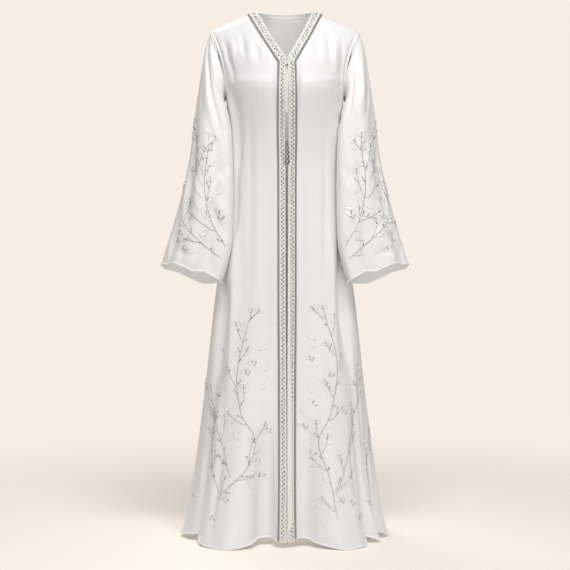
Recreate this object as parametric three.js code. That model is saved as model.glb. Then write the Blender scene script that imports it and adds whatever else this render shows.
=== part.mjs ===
// A full-length open abaya in white satin, kept in its worn, hollow form with no wearer.
// Millimetres, +Z up, the front faces -Y and +X is the right of someone looking at the front.
// The origin is midway between the shoulders, at the height of the side of the neck.
// Every piece is a thin closed wall over one shared form, 0.3 mm or more clear of its neighbours.

import * as THREE from "three";

// ---- driving dimensions ----

const hemZ = -1393;
const facingEndZ = -1363;
const clothThick = 1.5;
const bandThick = 2.0;
const bandProud = 0.5;
const seamGap = 0.35;

const bandWidth = 22;
const facingWidth = 12;
const openingX = 5; // the opening runs a little to one side of the middle
const underlapEndZ = -286;

const neckHalf = 75; // inner edge of the neck band on the shoulder
const neckOuterHalf = 101;
const neckBackZ = 2;
const neckBackOuterZ = -18;
const veeZ = -145;
const veeOuterZ = -157;
const veeBend = { x: 45, z: -75 }; // what the inner and outer edges of the V curve towards
const veeOuterBend = { x: 68, z: -85 };

const ridgeTop = 17.5; // the line of the shoulders, rounded over the neck
const ridgeSlope = 0.487;
const ridgeRound = 60;
const shoulderRound = 150; // how far below that line the cloth turns down the chest and back
const sideFullness = 0.76;

const armholeTopZ = -54;
const armholeLowZ = -235;
const armholeTopAround = 0.845;
const armholeScoop = 0.16;

const foldDrop = 0.3; // how much lower the cloth hangs where a fold stands out
const sleeveClear = 4; // from the body's side
const cuffPitch = 13; // the back of the cuff hangs lower than its front

const closureTopZ = -361;
const closureLowZ = -416;
const closureKnots = 7;
const closureHalf = { top: 3.2, low: 6 };
const closureFlat = 0.5;
const hookZ = -166;
const hookSize = { x: 4.5, y: 1.6, z: 3 };

// ---- how finely the walls are divided ----

const ringSteps = 24; // round a sleeve, so half of them down an armhole
const veeRow = 7; // the armhole step level with the foot of the V
const bodyRows = 19; // from the underarm to the end of the facing
const frontColumns = 18;
const shoulderColumns = 7;
const backNeckColumns = 6; // half of the back neck
const sleeveRings = 14;

// The body's section at each height: half its width, and its depth to the front and to the back.
const sections = [
  { z: 30, half: 206, front: 70, back: 96 },
  { z: -60, half: 206, front: 92, back: 104 },
  { z: -120, half: 191, front: 112, back: 108 },
  { z: -190, half: 168, front: 127, back: 108 },
  { z: -225, half: 159, front: 131, back: 105 },
  { z: -270, half: 154, front: 125, back: 99 },
  { z: -330, half: 150, front: 114, back: 92 },
  { z: -420, half: 148, front: 106, back: 88 },
  { z: -520, half: 151, front: 112, back: 98 },
  { z: -640, half: 165, front: 126, back: 120 },
  { z: -751, half: 185, front: 138, back: 136 },
  { z: -890, half: 201, front: 150, back: 150 },
  { z: -1122, half: 224, front: 168, back: 172 },
  { z: -1261, half: 240, front: 180, back: 188 },
  { z: -1355, half: 254, front: 188, back: 200 },
  { z: -1400, half: 266, front: 192, back: 207 },
];

// The width of the opening between the two front bands.
const openingGaps = [
  { z: -140, gap: 2 },
  { z: -180, gap: 6 },
  { z: -250, gap: 9 },
  { z: -340, gap: 9 },
  { z: -430, gap: 6.5 },
  { z: -800, gap: 5 },
  { z: -1000, gap: 2.5 },
  { z: -1250, gap: 2 },
  { z: -1400, gap: 5 },
];

// Folds run down from fromZ and grow to the hem. Round the body, 0 is the middle of the front,
// 1 and -1 are the side seams and 2 is the middle of the back. Out is negative in a hollow.
const bodyFolds = [
  { around: -0.34, wide: 0.13, out: 44, fromZ: -760 },
  { around: -0.52, wide: 0.1, out: 26, fromZ: -800 },
  { around: -0.7, wide: 0.06, out: -16, fromZ: -960 },
  { around: -0.94, wide: 0.07, out: 13, fromZ: -900 },
  { around: -0.105, wide: 0.06, out: -24, fromZ: -900 },
  { around: 0.35, wide: 0.12, out: 42, fromZ: -740 },
  { around: 0.49, wide: 0.08, out: 24, fromZ: -800 },
  { around: 0.6, wide: 0.04, out: -12, fromZ: -980 },
  { around: 0.69, wide: 0.045, out: 16, fromZ: -940 },
  { around: 0.8, wide: 0.05, out: -14, fromZ: -1000 },
  { around: 0.94, wide: 0.06, out: 13, fromZ: -920 },
  { around: 0.1, wide: 0.055, out: -24, fromZ: -900 },
  { around: 1.2, wide: 0.1, out: 24, fromZ: -800 },
  { around: 1.42, wide: 0.1, out: -15, fromZ: -860 },
  { around: 1.63, wide: 0.11, out: 26, fromZ: -700 },
  { around: 1.86, wide: 0.1, out: -13, fromZ: -820 },
  { around: -1.22, wide: 0.1, out: 22, fromZ: -780 },
  { around: -1.44, wide: 0.1, out: -16, fromZ: -900 },
  { around: -1.66, wide: 0.12, out: 27, fromZ: -720 },
  { around: -1.9, wide: 0.09, out: -12, fromZ: -800 },
];

// A sleeve's rings from armhole to cuff: the outer and inner ends of each, and half its depth.
const sleeveSections = [
  { outerX: 198, outerY: 0, outerZ: -54, innerX: 156, innerY: 0, innerZ: -235, deep: 47 },
  { outerX: 213, outerY: 0, outerZ: -96, innerX: 160, innerY: -12, innerZ: -247, deep: 54 },
  { outerX: 223, outerY: -2, outerZ: -150, innerX: 152, innerY: -28, innerZ: -268, deep: 58 },
  { outerX: 233, outerY: -7, outerZ: -215, innerX: 145, innerY: -46, innerZ: -300, deep: 59 },
  { outerX: 243, outerY: -14, outerZ: -290, innerX: 140, innerY: -60, innerZ: -346, deep: 57 },
  { outerX: 252, outerY: -24, outerZ: -375, innerX: 137, innerY: -68, innerZ: -415, deep: 55 },
  { outerX: 268, outerY: -36, outerZ: -465, innerX: 136, innerY: -74, innerZ: -506, deep: 54 },
  { outerX: 294, outerY: -46, outerZ: -568, innerX: 138, innerY: -80, innerZ: -615, deep: 53 },
  { outerX: 314, outerY: -52, outerZ: -637, innerX: 150, innerY: -84, innerZ: -686, deep: 52 },
  { outerX: 328, outerY: -56, outerZ: -683, innerX: 164, innerY: -86, innerZ: -731, deep: 51 },
];

// Folds along a sleeve: turn is 0 on the outer edge and a quarter at the front, down is 0 to 1.
const sleeveFolds = [
  { turn: 0.2, wide: 0.05, out: 7, from: 0.1, full: 0.45 },
  { turn: 0.11, wide: 0.04, out: -5, from: 0.2, full: 0.6 },
  { turn: 0.31, wide: 0.045, out: -7, from: 0.15, full: 0.7 },
  { turn: 0.4, wide: 0.04, out: 6, from: 0.35, full: 0.9 },
  { turn: 0.62, wide: 0.05, out: 5, from: 0.3, full: 0.9 },
  { turn: 0.74, wide: 0.06, out: -8, from: 0.2, full: 0.7 },
  { turn: 0.87, wide: 0.05, out: 6, from: 0.3, full: 0.8 },
];

// ---- sums ----

const mix = (a, b, t) => a + (b - a) * t;
const clamp01 = (t) => Math.min(1, Math.max(0, t));
const easeIn = (t) => clamp01(t) ** 2 * (3 - 2 * clamp01(t));
const vector = (x, y, z) => new THREE.Vector3(x, y, z);
const moved = (point, direction, far) => point.clone().addScaledVector(direction, far);
const aroundOf = (x, half) => (Math.asin(x / half) * 2) / Math.PI;

// A column of a table read smoothly at any place along it, never past its neighbours.
function read(table, key, place, column) {
  const turned = Math.sign(table[1][key] - table[0][key]);
  const at = (i) => table[i][key] * turned;
  let i = 0;
  while (i < table.length - 2 && place * turned > at(i + 1)) i += 1;
  const rise = (k) => (table[k + 1][column] - table[k][column]) / (at(k + 1) - at(k));
  const slope = (k) => {
    if (k === 0 || k === table.length - 1) return rise(Math.min(k, table.length - 2));
    const before = rise(k - 1);
    const after = rise(k);
    return before * after <= 0 ? 0 : (2 * before * after) / (before + after);
  };
  const step = at(i + 1) - at(i);
  const t = clamp01((place * turned - at(i)) / step);
  const start = table[i][column];
  const end = table[i + 1][column];
  const curve = slope(i) * step * t * (1 - t) ** 2 - slope(i + 1) * step * t * t * (1 - t);
  return mix(start, end, easeIn(t)) + curve;
}

const bell = (far, wide) => Math.exp(-((far / wide) ** 2));
const ridgeZ = (x) => ridgeTop - ridgeSlope * (Math.hypot(x, ridgeRound) - ridgeRound);
const openingGap = (z) => read(openingGaps, "z", z, "gap");
const bodyHalf = (z) => read(sections, "z", z, "half");

function foldOut(around, z) {
  let out = 0;
  for (const fold of bodyFolds) {
    const apart = Math.abs(around - fold.around);
    const near = Math.min(apart, 4 - apart);
    const grown = clamp01((fold.fromZ - z) / (fold.fromZ - hemZ)) ** 1.4;
    out += fold.out * grown * bell(near, fold.wide);
  }
  return out;
}

// A point of the body's outer form, across from -1 to 1 on the front (facing -1) or back (facing 1).
// The two stop half a seam's gap from each other.
function bodyPoint(across, z, facing) {
  const around = facing < 0 ? across : (across < 0 ? -1 : 1) * (2 - Math.abs(across));
  const half = bodyHalf(z);
  const depth = read(sections, "z", z, facing < 0 ? "front" : "back");
  const turn = (across * Math.PI) / 2;
  const x = half * Math.sin(turn);
  const drop = clamp01((ridgeZ(x) - z) / shoulderRound);
  const rounded = Math.sqrt(1 - (1 - drop) ** 2);
  const y = depth * Math.max(0, Math.cos(turn)) ** sideFullness * rounded;
  const outward = vector(x / half ** 2, y / depth ** 2, 0).normalize();
  const out = foldOut(around, z);
  const pointY = facing * (y + outward.y * out + seamGap / 2);
  return vector(x + outward.x * out, pointY, z - foldDrop * out);
}

const frontPoint = (x, z) => bodyPoint(aroundOf(x, bodyHalf(z)), z, -1);
const backPoint = (x, z) => bodyPoint(aroundOf(x, bodyHalf(z)), z, 1);

// ---- walls ----

// Outward directions at the points of a grid, from its neighbours along and across.
function gridNormals(grid, outwards) {
  return grid.map((row, j) =>
    row.map((point, i) => {
      const along = grid[Math.min(j + 1, grid.length - 1)][i].clone();
      along.sub(grid[Math.max(j - 1, 0)][i]);
      const across = row[Math.min(i + 1, row.length - 1)].clone();
      across.sub(row[Math.max(i - 1, 0)]);
      return across.cross(along).multiplyScalar(outwards).normalize();
    }),
  );
}

// Turns an edge's direction into the plane of its seam, so that its face meets the next one flat.
function flatten(normal) {
  normal.y = 0;
  normal.normalize();
}

// A closed wall between two grids of the same size. A looped grid joins its last column to its first.
function wall(outer, inner, looped = false) {
  const rows = outer.length;
  const columns = outer[0].length;
  const corners = [...outer.flat(), ...inner.flat()];
  const at = (j, i, under) => (under ? rows * columns : 0) + j * columns + (i % columns);
  const faces = [];
  const quad = (a, b, c, d) => faces.push(a, b, c, a, c, d);
  const cells = looped ? columns : columns - 1;
  for (let j = 0; j < rows - 1; j += 1) {
    for (let i = 0; i < cells; i += 1) {
      quad(at(j, i), at(j, i + 1), at(j + 1, i + 1), at(j + 1, i));
      quad(at(j, i, 1), at(j + 1, i, 1), at(j + 1, i + 1, 1), at(j, i + 1, 1));
    }
  }
  for (let i = 0; i < cells; i += 1) {
    quad(at(0, i), at(0, i, 1), at(0, i + 1, 1), at(0, i + 1));
    quad(at(rows - 1, i), at(rows - 1, i + 1), at(rows - 1, i + 1, 1), at(rows - 1, i, 1));
  }
  for (let j = 0; j < rows - 1 && !looped; j += 1) {
    quad(at(j, 0), at(j + 1, 0), at(j + 1, 0, 1), at(j, 0, 1));
    quad(at(j, cells), at(j, cells, 1), at(j + 1, cells, 1), at(j + 1, cells));
  }
  return closedGeometry(corners, faces);
}

// A geometry from corners and faces, turned so that it holds a positive volume.
function closedGeometry(corners, faces) {
  let volume = 0;
  for (let k = 0; k < faces.length; k += 3) {
    const [a, b, c] = [corners[faces[k]], corners[faces[k + 1]], corners[faces[k + 2]]];
    volume += a.dot(b.clone().cross(c));
  }
  if (volume < 0) faces.reverse();
  const geometry = new THREE.BufferGeometry();
  geometry.setAttribute("position", new THREE.Float32BufferAttribute(corners.flatMap((p) => p.toArray()), 3));
  geometry.setIndex(faces);
  geometry.computeVertexNormals();
  return geometry;
}

// A wall under a grid: its outer skin stands proud of the grid and its inner skin lies thick below that.
function clothWall(grid, normals, thick, proud = 0, looped = false) {
  const outer = grid.map((row, j) => row.map((point, i) => moved(point, normals[j][i], proud)));
  const inner = grid.map((row, j) => row.map((point, i) => moved(point, normals[j][i], proud - thick)));
  return wall(outer, inner, looped);
}

// ---- the body's grids ----

// Down an armhole from the shoulder tip to the underarm, at an angle from 0 to half a turn.
const armholeZ = (angle) => mix(armholeTopZ, armholeLowZ, (1 - Math.cos(angle)) / 2);

function armholeAround(angle) {
  return mix(armholeTopAround, 1, angle / Math.PI) - armholeScoop * Math.sin(angle);
}

const armholeRows = ringSteps / 2;
const rowAngle = (row) => (Math.min(row, armholeRows) * Math.PI) / armholeRows;

// The z of a row's end at the opening and at the side, for the rows below the V.
function rowEnds(row) {
  if (row <= armholeRows) {
    const down = (row - veeRow) / (armholeRows - veeRow);
    return { inZ: mix(veeOuterZ, underlapEndZ, down), outZ: armholeZ(rowAngle(row)) };
  }
  const down = (row - armholeRows) / bodyRows;
  if (down > 1) return { inZ: hemZ, outZ: hemZ };
  return { inZ: mix(underlapEndZ, facingEndZ, down), outZ: mix(armholeLowZ, facingEndZ, down) };
}

const curveTo = (from, bend, to, t) => mix(mix(from, bend, t), mix(bend, to, t), t);

// The band's inner edge, middle column and outer edge on one row of a front: x and z of each.
function bandColumns(row, side) {
  if (row > veeRow) {
    const z = rowEnds(row).inZ;
    const edge = openingGap(z) / 2;
    return [edge, edge + facingWidth, edge + bandWidth].map((far) => ({ x: openingX + side * far, z }));
  }
  const t = (1 - Math.cos(rowAngle(row))) / (1 - Math.cos(rowAngle(veeRow)));
  const edge = openingGap(veeZ) / 2;
  const inner = { x: curveTo(neckHalf, veeBend.x, edge, t), z: curveTo(0, veeBend.z, veeZ, t) };
  const outer = {
    x: curveTo(neckOuterHalf, veeOuterBend.x, edge + bandWidth, t),
    z: curveTo(ridgeZ(neckOuterHalf), veeOuterBend.z, veeOuterZ, t),
  };
  return [0, facingWidth / bandWidth, 1].map((share) => ({
    x: openingX * t + side * mix(inner.x, outer.x, share),
    z: row === 0 ? ridgeZ(mix(inner.x, outer.x, share)) : mix(inner.z, outer.z, share),
  }));
}

const bandSteps = 2; // cells across a band

// One front with its band: a row for each armhole step and each body row, from the opening outwards.
function frontGrid(side) {
  const grid = [];
  const lastRow = armholeRows + bodyRows + 1;
  for (let row = 0; row <= lastRow; row += 1) {
    const band = bandColumns(row, side);
    const points = band.map((place) => frontPoint(place.x, place.z));
    const start = band[bandSteps];
    const outZ = row <= armholeRows ? armholeZ(rowAngle(row)) : rowEnds(row).outZ;
    const outAround = row <= armholeRows ? armholeAround(rowAngle(row)) : 1;
    const inAround = Math.abs(aroundOf(start.x, bodyHalf(start.z)));
    const level = row <= armholeRows ? (1 - Math.cos(rowAngle(row))) / 2 : 1;
    const outX = bodyHalf(outZ) * Math.sin((outAround * Math.PI) / 2);
    for (let i = 1; i <= frontColumns; i += 1) {
      const u = i / frontColumns;
      const around = mix(inAround, outAround, u);
      const straight = mix(start.z, outZ, u);
      const x = bodyHalf(straight) * Math.sin((around * Math.PI) / 2);
      const bow = ridgeZ(x) - mix(ridgeZ(start.x), ridgeZ(outX), u);
      points.push(bodyPoint(side * around, straight + (1 - level) * bow, -1));
    }
    grid.push(points);
  }
  const normals = gridNormals(grid, -side);
  grid.forEach((points, row) => {
    if (row >= armholeRows) flatten(normals[row][points.length - 1]);
  });
  normals[0].forEach(flatten);
  return { grid, normals };
}

const neckShare = aroundOf(neckOuterHalf, bodyHalf(0)) / armholeTopAround;

// Places across the back from one armhole to the other, -1 to 1, with a column at each end of the neck.
function backShares() {
  const shares = [];
  for (let i = -backNeckColumns; i <= backNeckColumns; i += 1) shares.push((i / backNeckColumns) * neckShare);
  for (let i = 1; i <= shoulderColumns; i += 1) {
    const share = mix(neckShare, 1, i / shoulderColumns);
    shares.push(share);
    shares.unshift(-share);
  }
  return shares;
}

const neckOuterZ = (x) => mix(neckBackOuterZ, ridgeZ(neckOuterHalf), (x / neckOuterHalf) ** 2);
const neckInnerZ = (x) => mix(neckBackZ, 0, (x / neckHalf) ** 2);

function backGrid() {
  const lastRow = armholeRows + bodyRows + 1;
  const grid = [];
  for (let row = 0; row <= lastRow; row += 1) {
    const sideAround = row <= armholeRows ? armholeAround(rowAngle(row)) : 1;
    const points = backShares().map((share) => {
      const topX = bodyHalf(0) * Math.sin((share * armholeTopAround * Math.PI) / 2);
      const topZ = Math.abs(topX) < neckOuterHalf - 0.01 ? neckOuterZ(topX) : ridgeZ(topX);
      const level = row <= armholeRows ? (1 - Math.cos(rowAngle(row))) / 2 : 1;
      const z = row <= armholeRows ? mix(topZ, armholeLowZ, level) : rowEnds(row).outZ;
      return bodyPoint(share * sideAround, z, 1);
    });
    grid.push(points);
  }
  const normals = gridNormals(grid, 1);
  grid.forEach((points, row) => {
    if (row < armholeRows) return;
    flatten(normals[row][0]);
    flatten(normals[row][points.length - 1]);
  });
  for (let i = 0; i <= shoulderColumns; i += 1) {
    flatten(normals[0][i]);
    flatten(normals[0][normals[0].length - 1 - i]);
  }
  return { grid, normals };
}

const fronts = { "-1": frontGrid(-1), 1: frontGrid(1) };
const back = backGrid();

// ---- the pieces ----

function frontPanel(side) {
  const beyondBand = (rows) => rows.map((row) => row.slice(bandSteps));
  const { grid, normals } = fronts[side];
  return clothWall(beyondBand(grid), beyondBand(normals), clothThick);
}

// A band's rows of points, drawn back from the panel's edge by the seam's gap.
function bandRows(side, firstRow, lastRow) {
  const { grid, normals } = fronts[side];
  const points = [];
  const directions = [];
  for (let row = firstRow; row <= lastRow; row += 1) {
    const cells = grid[row].slice(0, bandSteps + 1).map((point) => point.clone());
    const inward = cells[bandSteps - 1].clone().sub(cells[bandSteps]).normalize();
    cells[bandSteps].addScaledVector(inward, seamGap);
    points.push(cells);
    directions.push(normals[row].slice(0, bandSteps + 1).map((normal) => normal.clone()));
  }
  return { points, directions };
}

function frontBand(side) {
  const { points, directions } = bandRows(side, veeRow, armholeRows + bodyRows + 1);
  return clothWall(points, directions, bandThick, bandProud);
}

// The neck band: up one side of the V, over the shoulder, round the back and down the other side.
function neckBand() {
  const left = bandRows(-1, 0, veeRow);
  const right = bandRows(1, 0, veeRow);
  const mitre = (rows) => {
    const last = rows.points.length - 1;
    rows.points[last].forEach((point, i) => {
      const up = rows.points[last - 1][i].clone().sub(point).normalize();
      point.addScaledVector(up, seamGap);
    });
  };
  const levelShoulder = (rows) => rows.points[0].forEach((point) => (point.y = 0));
  [left, right].forEach(mitre);
  [left, right].forEach(levelShoulder);
  const points = [...left.points].reverse();
  const directions = [...left.directions].reverse();
  const middle = [];
  for (let i = 1 - backNeckColumns; i < backNeckColumns; i += 1) {
    const across = (i / backNeckColumns) * neckShare * armholeTopAround;
    const outerX = bodyHalf(0) * Math.sin((across * Math.PI) / 2);
    const innerX = (outerX * neckHalf) / neckOuterHalf;
    const cells = [0, facingWidth / bandWidth, 1].map((share) => {
      const x = mix(innerX, outerX, share);
      return backPoint(x, mix(neckInnerZ(innerX), neckOuterZ(outerX), share));
    });
    const inward = cells[bandSteps - 1].clone().sub(cells[bandSteps]).normalize();
    cells[bandSteps].addScaledVector(inward, seamGap);
    middle.push(cells);
  }
  const ends = [left.points[0], ...middle, right.points[0]];
  const middleNormals = gridNormals(ends, -1).slice(1, -1);
  middleNormals.forEach((row, k) => {
    row[bandSteps].copy(back.normals[0][shoulderColumns + 1 + k]);
  });
  points.push(...middle, ...right.points);
  directions.push(...middleNormals, ...right.directions);
  return clothWall(points, directions, bandThick, bandProud);
}

// The plain strip turned out over the inner half of one band, wider towards the hem.
const facingShares = [
  { z: -640, share: 0.4 },
  { z: -900, share: 0.5 },
  { z: -1050, share: 0.92 },
  { z: -1330, share: 1 },
  { z: -1370, share: 0.55 },
];

function frontFacing(side) {
  const { grid, normals } = fronts[side];
  const points = [];
  const directions = [];
  grid.forEach((row, j) => {
    const z = row[0].z;
    if (z > facingShares[0].z || z < facingEndZ - 1) return;
    const far = row[1].clone().lerp(row[0], 1 - read(facingShares, "z", z, "share"));
    points.push([row[0].clone(), far]);
    directions.push([normals[j][0], normals[j][1]]);
  });
  return clothWall(points, directions, 1, bandProud + seamGap + 1);
}

// The strip behind the opening, from the foot of the V to the closure.
function underlap() {
  const points = [];
  const directions = [];
  for (let row = veeRow; row <= armholeRows; row += 1) {
    const [left, right] = [-1, 1].map((side) => fronts[side].grid[row][1].clone());
    const [leftOut, rightOut] = [-1, 1].map((side) => fronts[side].normals[row][1]);
    points.push([left, left.clone().lerp(right, 0.5), right]);
    directions.push([leftOut, leftOut.clone().add(rightOut).normalize(), rightOut]);
  }
  return clothWall(points, directions, 1.2, bandProud - bandThick - 2 * seamGap);
}

function backPanel() {
  return clothWall(back.grid, back.normals, clothThick);
}

// The armhole's edge with the directions out of the cloth and out of the seam at each ring step.
function armholeLoop(side) {
  const front = fronts[side];
  const frontEnd = front.grid[0].length - 1;
  const backEnd = side > 0 ? back.grid[0].length - 1 : 0;
  const loop = [];
  for (let k = 0; k < ringSteps; k += 1) {
    const row = k <= armholeRows ? k : ringSteps - k;
    const isFront = k <= armholeRows;
    const point = (isFront ? front.grid[row][frontEnd] : back.grid[row][backEnd]).clone();
    const normal = (isFront ? front.normals[row][frontEnd] : back.normals[row][backEnd]).clone();
    if (row === 0 || row === armholeRows) point.y = 0;
    loop.push({ point, normal });
  }
  loop.forEach((here, k) => {
    const next = loop[(k + 1) % ringSteps].point;
    const before = loop[(k + ringSteps - 1) % ringSteps].point;
    here.seamward = next.clone().sub(before).cross(here.normal).normalize().multiplyScalar(-side);
  });
  return loop;
}

// A sleeve's plain section at down, 0 to 1, and turn, 0 to 1.
function sleevePoint(side, down, turn) {
  const place = down * (sleeveSections.length - 1);
  const rows = sleeveSections.map((row, at) => ({ ...row, at }));
  const get = (column) => read(rows, "at", place, column);
  const cosine = Math.cos(turn * Math.PI * 2);
  const sine = Math.sin(turn * Math.PI * 2);
  const share = (1 - cosine) / 2;
  const point = vector(
    side * mix(get("outerX"), get("innerX"), share),
    mix(get("outerY"), get("innerY"), share) - get("deep") * sine,
    mix(get("outerZ"), get("innerZ"), share) + cuffPitch * sine * down ** 3,
  );
  const outward = vector(side * cosine, -sine, 0);
  for (const fold of sleeveFolds) {
    const apart = Math.abs(turn - fold.turn);
    const grown = easeIn((down - fold.from) / (fold.full - fold.from));
    point.addScaledVector(outward, fold.out * grown * bell(Math.min(apart, 1 - apart), fold.wide));
  }
  return point;
}

// Moves a point of a sleeve out until it stands clear of the body's side.
function keepClear(point, side, clear) {
  const half = bodyHalf(point.z) + clear;
  const depth = read(sections, "z", point.z, point.y < 0 ? "front" : "back") + clear;
  const behind = Math.min(1, Math.abs(point.y) / depth);
  const bodyX = half * Math.sqrt(1 - behind ** (2 / sideFullness));
  const low = easeIn((armholeTopZ - 40 - point.z) / 60);
  point.x = side * Math.max(side * point.x, mix(side * point.x, bodyX, low));
  return point;
}

function sleeve(side) {
  const loop = armholeLoop(side);
  const grid = [];
  for (let ring = 0; ring <= sleeveRings; ring += 1) {
    const down = (ring / sleeveRings) ** 1.1;
    const settle = 1 - easeIn(down * 4);
    const points = loop.map((seam, k) => {
      const turn = k / ringSteps;
      const start = moved(seam.point, seam.seamward, 1.5 * seamGap);
      if (ring === 0) return start;
      const offset = start.sub(sleevePoint(side, 0, turn));
      const point = sleevePoint(side, down, turn).addScaledVector(offset, settle);
      return keepClear(point, side, sleeveClear * easeIn(down * 5));
    });
    grid.push(points);
  }
  const looped = grid.map((row) => [row[row.length - 1], ...row, row[0]]);
  const normals = gridNormals(looped, side).map((row) => row.slice(1, -1));
  loop.forEach((seam, k) => {
    const beyond = Math.max(0, normals[0][k].dot(seam.seamward));
    normals[0][k].addScaledVector(seam.seamward, -beyond).normalize();
  });
  return clothWall(grid, normals, clothThick, 0, true);
}

// A string of flattened knots that holds the two bands together.
function closure() {
  const long = closureTopZ - closureLowZ;
  const profile = [new THREE.Vector2(0, -long / 2)];
  for (let knot = 0; knot < closureKnots; knot += 1) {
    const half = mix(closureHalf.low, closureHalf.top, knot / (closureKnots - 1));
    for (const [far, share] of [[0.1, 0.7], [0.35, 1], [0.65, 1], [0.9, 0.7]]) {
      profile.push(new THREE.Vector2(half * share, ((knot + far) / closureKnots) * long - long / 2));
    }
  }
  profile.push(new THREE.Vector2(0, long / 2));
  const geometry = new THREE.LatheGeometry(profile, 10);
  geometry.rotateX(Math.PI / 2);
  geometry.scale(1, closureFlat, 1);
  return geometry;
}

function hook() {
  const geometry = new THREE.SphereGeometry(1, 12, 8);
  geometry.scale(hookSize.x, hookSize.y, hookSize.z);
  return geometry;
}

// ---- finishes ----

const satin = new THREE.MeshStandardMaterial({ color: 0xeeedec, roughness: 0.38, metalness: 0 });
const trim = new THREE.MeshStandardMaterial({ color: 0xc9c6c1, roughness: 0.45, metalness: 0.35 });
const plain = new THREE.MeshStandardMaterial({ color: 0xefeae3, roughness: 0.55, metalness: 0 });
const silver = new THREE.MeshStandardMaterial({ color: 0x96918c, roughness: 0.35, metalness: 0.7 });

const abaya = new THREE.Group();

function add(name, geometry, material) {
  const mesh = new THREE.Mesh(geometry, material);
  mesh.name = name;
  abaya.add(mesh);
  return mesh;
}

const sides = { left: -1, right: 1 };
for (const [name, side] of Object.entries(sides)) {
  add(`front_${name}`, frontPanel(side), satin);
  add(`sleeve_${name}`, sleeve(side), satin);
  add(`front_band_${name}`, frontBand(side), trim);
}
add("back", backPanel(), satin);
add("neck_band", neckBand(), trim);
add("front_facing", frontFacing(sides.right), plain);
add("underlap", underlap(), plain);

const bandFrontY = (z) => frontPoint(openingX, z).y - bandProud - seamGap;
const closureMesh = add("closure_knots", closure(), silver);
const closureY = Math.min(bandFrontY(closureTopZ), bandFrontY(closureLowZ)) - closureHalf.low * closureFlat;
closureMesh.position.set(openingX, closureY, (closureTopZ + closureLowZ) / 2);

const hookMesh = add("neck_hook", hook(), silver);
hookMesh.position.set(openingX, bandFrontY(hookZ) - hookSize.y, hookZ);

export default abaya;
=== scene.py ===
import math
import random

import bpy
import numpy as np
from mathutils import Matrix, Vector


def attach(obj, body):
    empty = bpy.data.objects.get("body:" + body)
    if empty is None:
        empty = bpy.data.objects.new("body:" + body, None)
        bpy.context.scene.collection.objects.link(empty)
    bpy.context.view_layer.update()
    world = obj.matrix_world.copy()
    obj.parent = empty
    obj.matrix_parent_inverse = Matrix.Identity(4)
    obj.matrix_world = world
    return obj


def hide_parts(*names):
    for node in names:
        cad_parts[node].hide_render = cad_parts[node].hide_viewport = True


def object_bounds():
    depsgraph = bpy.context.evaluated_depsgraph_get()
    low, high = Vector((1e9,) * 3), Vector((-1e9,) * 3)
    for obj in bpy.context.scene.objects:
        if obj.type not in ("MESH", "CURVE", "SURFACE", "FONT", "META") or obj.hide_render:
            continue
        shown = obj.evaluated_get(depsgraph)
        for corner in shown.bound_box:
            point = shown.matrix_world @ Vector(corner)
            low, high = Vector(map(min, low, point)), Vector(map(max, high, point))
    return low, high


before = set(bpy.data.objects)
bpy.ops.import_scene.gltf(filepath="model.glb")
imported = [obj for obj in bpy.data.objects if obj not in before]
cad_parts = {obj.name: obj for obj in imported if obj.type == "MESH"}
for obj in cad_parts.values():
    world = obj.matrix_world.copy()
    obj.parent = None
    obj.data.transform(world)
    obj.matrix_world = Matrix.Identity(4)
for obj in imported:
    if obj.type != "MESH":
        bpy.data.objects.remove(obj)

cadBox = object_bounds()
random.seed(56)
print("frame loaded:", len(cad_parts), "solids")

# the garment's form, in metres, front facing -Y: the same sections and folds as its solids

form = {
    "hemZ": -1.393,
    "facingEndZ": -1.363,
    "bandWidth": 0.022,
    "facingWidth": 0.012,
    "openingX": 0.005,
    "underlapEndZ": -0.286,
    "neckHalf": 0.075,
    "neckOuterHalf": 0.101,
    "neckBackZ": 0.002,
    "neckBackOuterZ": -0.018,
    "veeZ": -0.145,
    "veeOuterZ": -0.157,
    "veeBend": (0.045, -0.075),
    "veeOuterBend": (0.068, -0.085),
    "ridgeTop": 0.0175,
    "ridgeSlope": 0.487,
    "ridgeRound": 0.060,
    "shoulderRound": 0.150,
    "sideFullness": 0.76,
    "armholeTopZ": -0.054,
    "armholeLowZ": -0.235,
    "armholeTopAround": 0.845,
    "armholeScoop": 0.16,
    "foldDrop": 0.3,
    "sleeveClear": 0.004,
    "cuffPitch": 0.013,
    "seamGap": 0.00035,
    "veeRow": 7,  # rows are counted down a front: 12 beside the armhole, 19 to the facing's end, 1 to the hem
    "armholeRows": 12,
    "bodyRows": 19,
}
lastRow = form["armholeRows"] + form["bodyRows"] + 1

bodySections = {
    "z": [0.03, -0.06, -0.12, -0.19, -0.225, -0.27, -0.33, -0.42, -0.52, -0.64, -0.751, -0.89, -1.122, -1.261,
          -1.355, -1.4],
    "half": [0.206, 0.206, 0.191, 0.168, 0.159, 0.154, 0.15, 0.148, 0.151, 0.165, 0.185, 0.201, 0.224, 0.24,
             0.254, 0.266],
    "front": [0.07, 0.092, 0.112, 0.127, 0.131, 0.125, 0.114, 0.106, 0.112, 0.126, 0.138, 0.15, 0.168, 0.18,
              0.188, 0.192],
    "back": [0.096, 0.104, 0.108, 0.108, 0.105, 0.099, 0.092, 0.088, 0.098, 0.12, 0.136, 0.15, 0.172, 0.188,
             0.2, 0.207],
}
openingGaps = {
    "z": [-0.14, -0.18, -0.25, -0.34, -0.43, -0.8, -1.0, -1.25, -1.4],
    "gap": [0.002, 0.006, 0.009, 0.009, 0.0065, 0.005, 0.0025, 0.002, 0.005],
}
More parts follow.
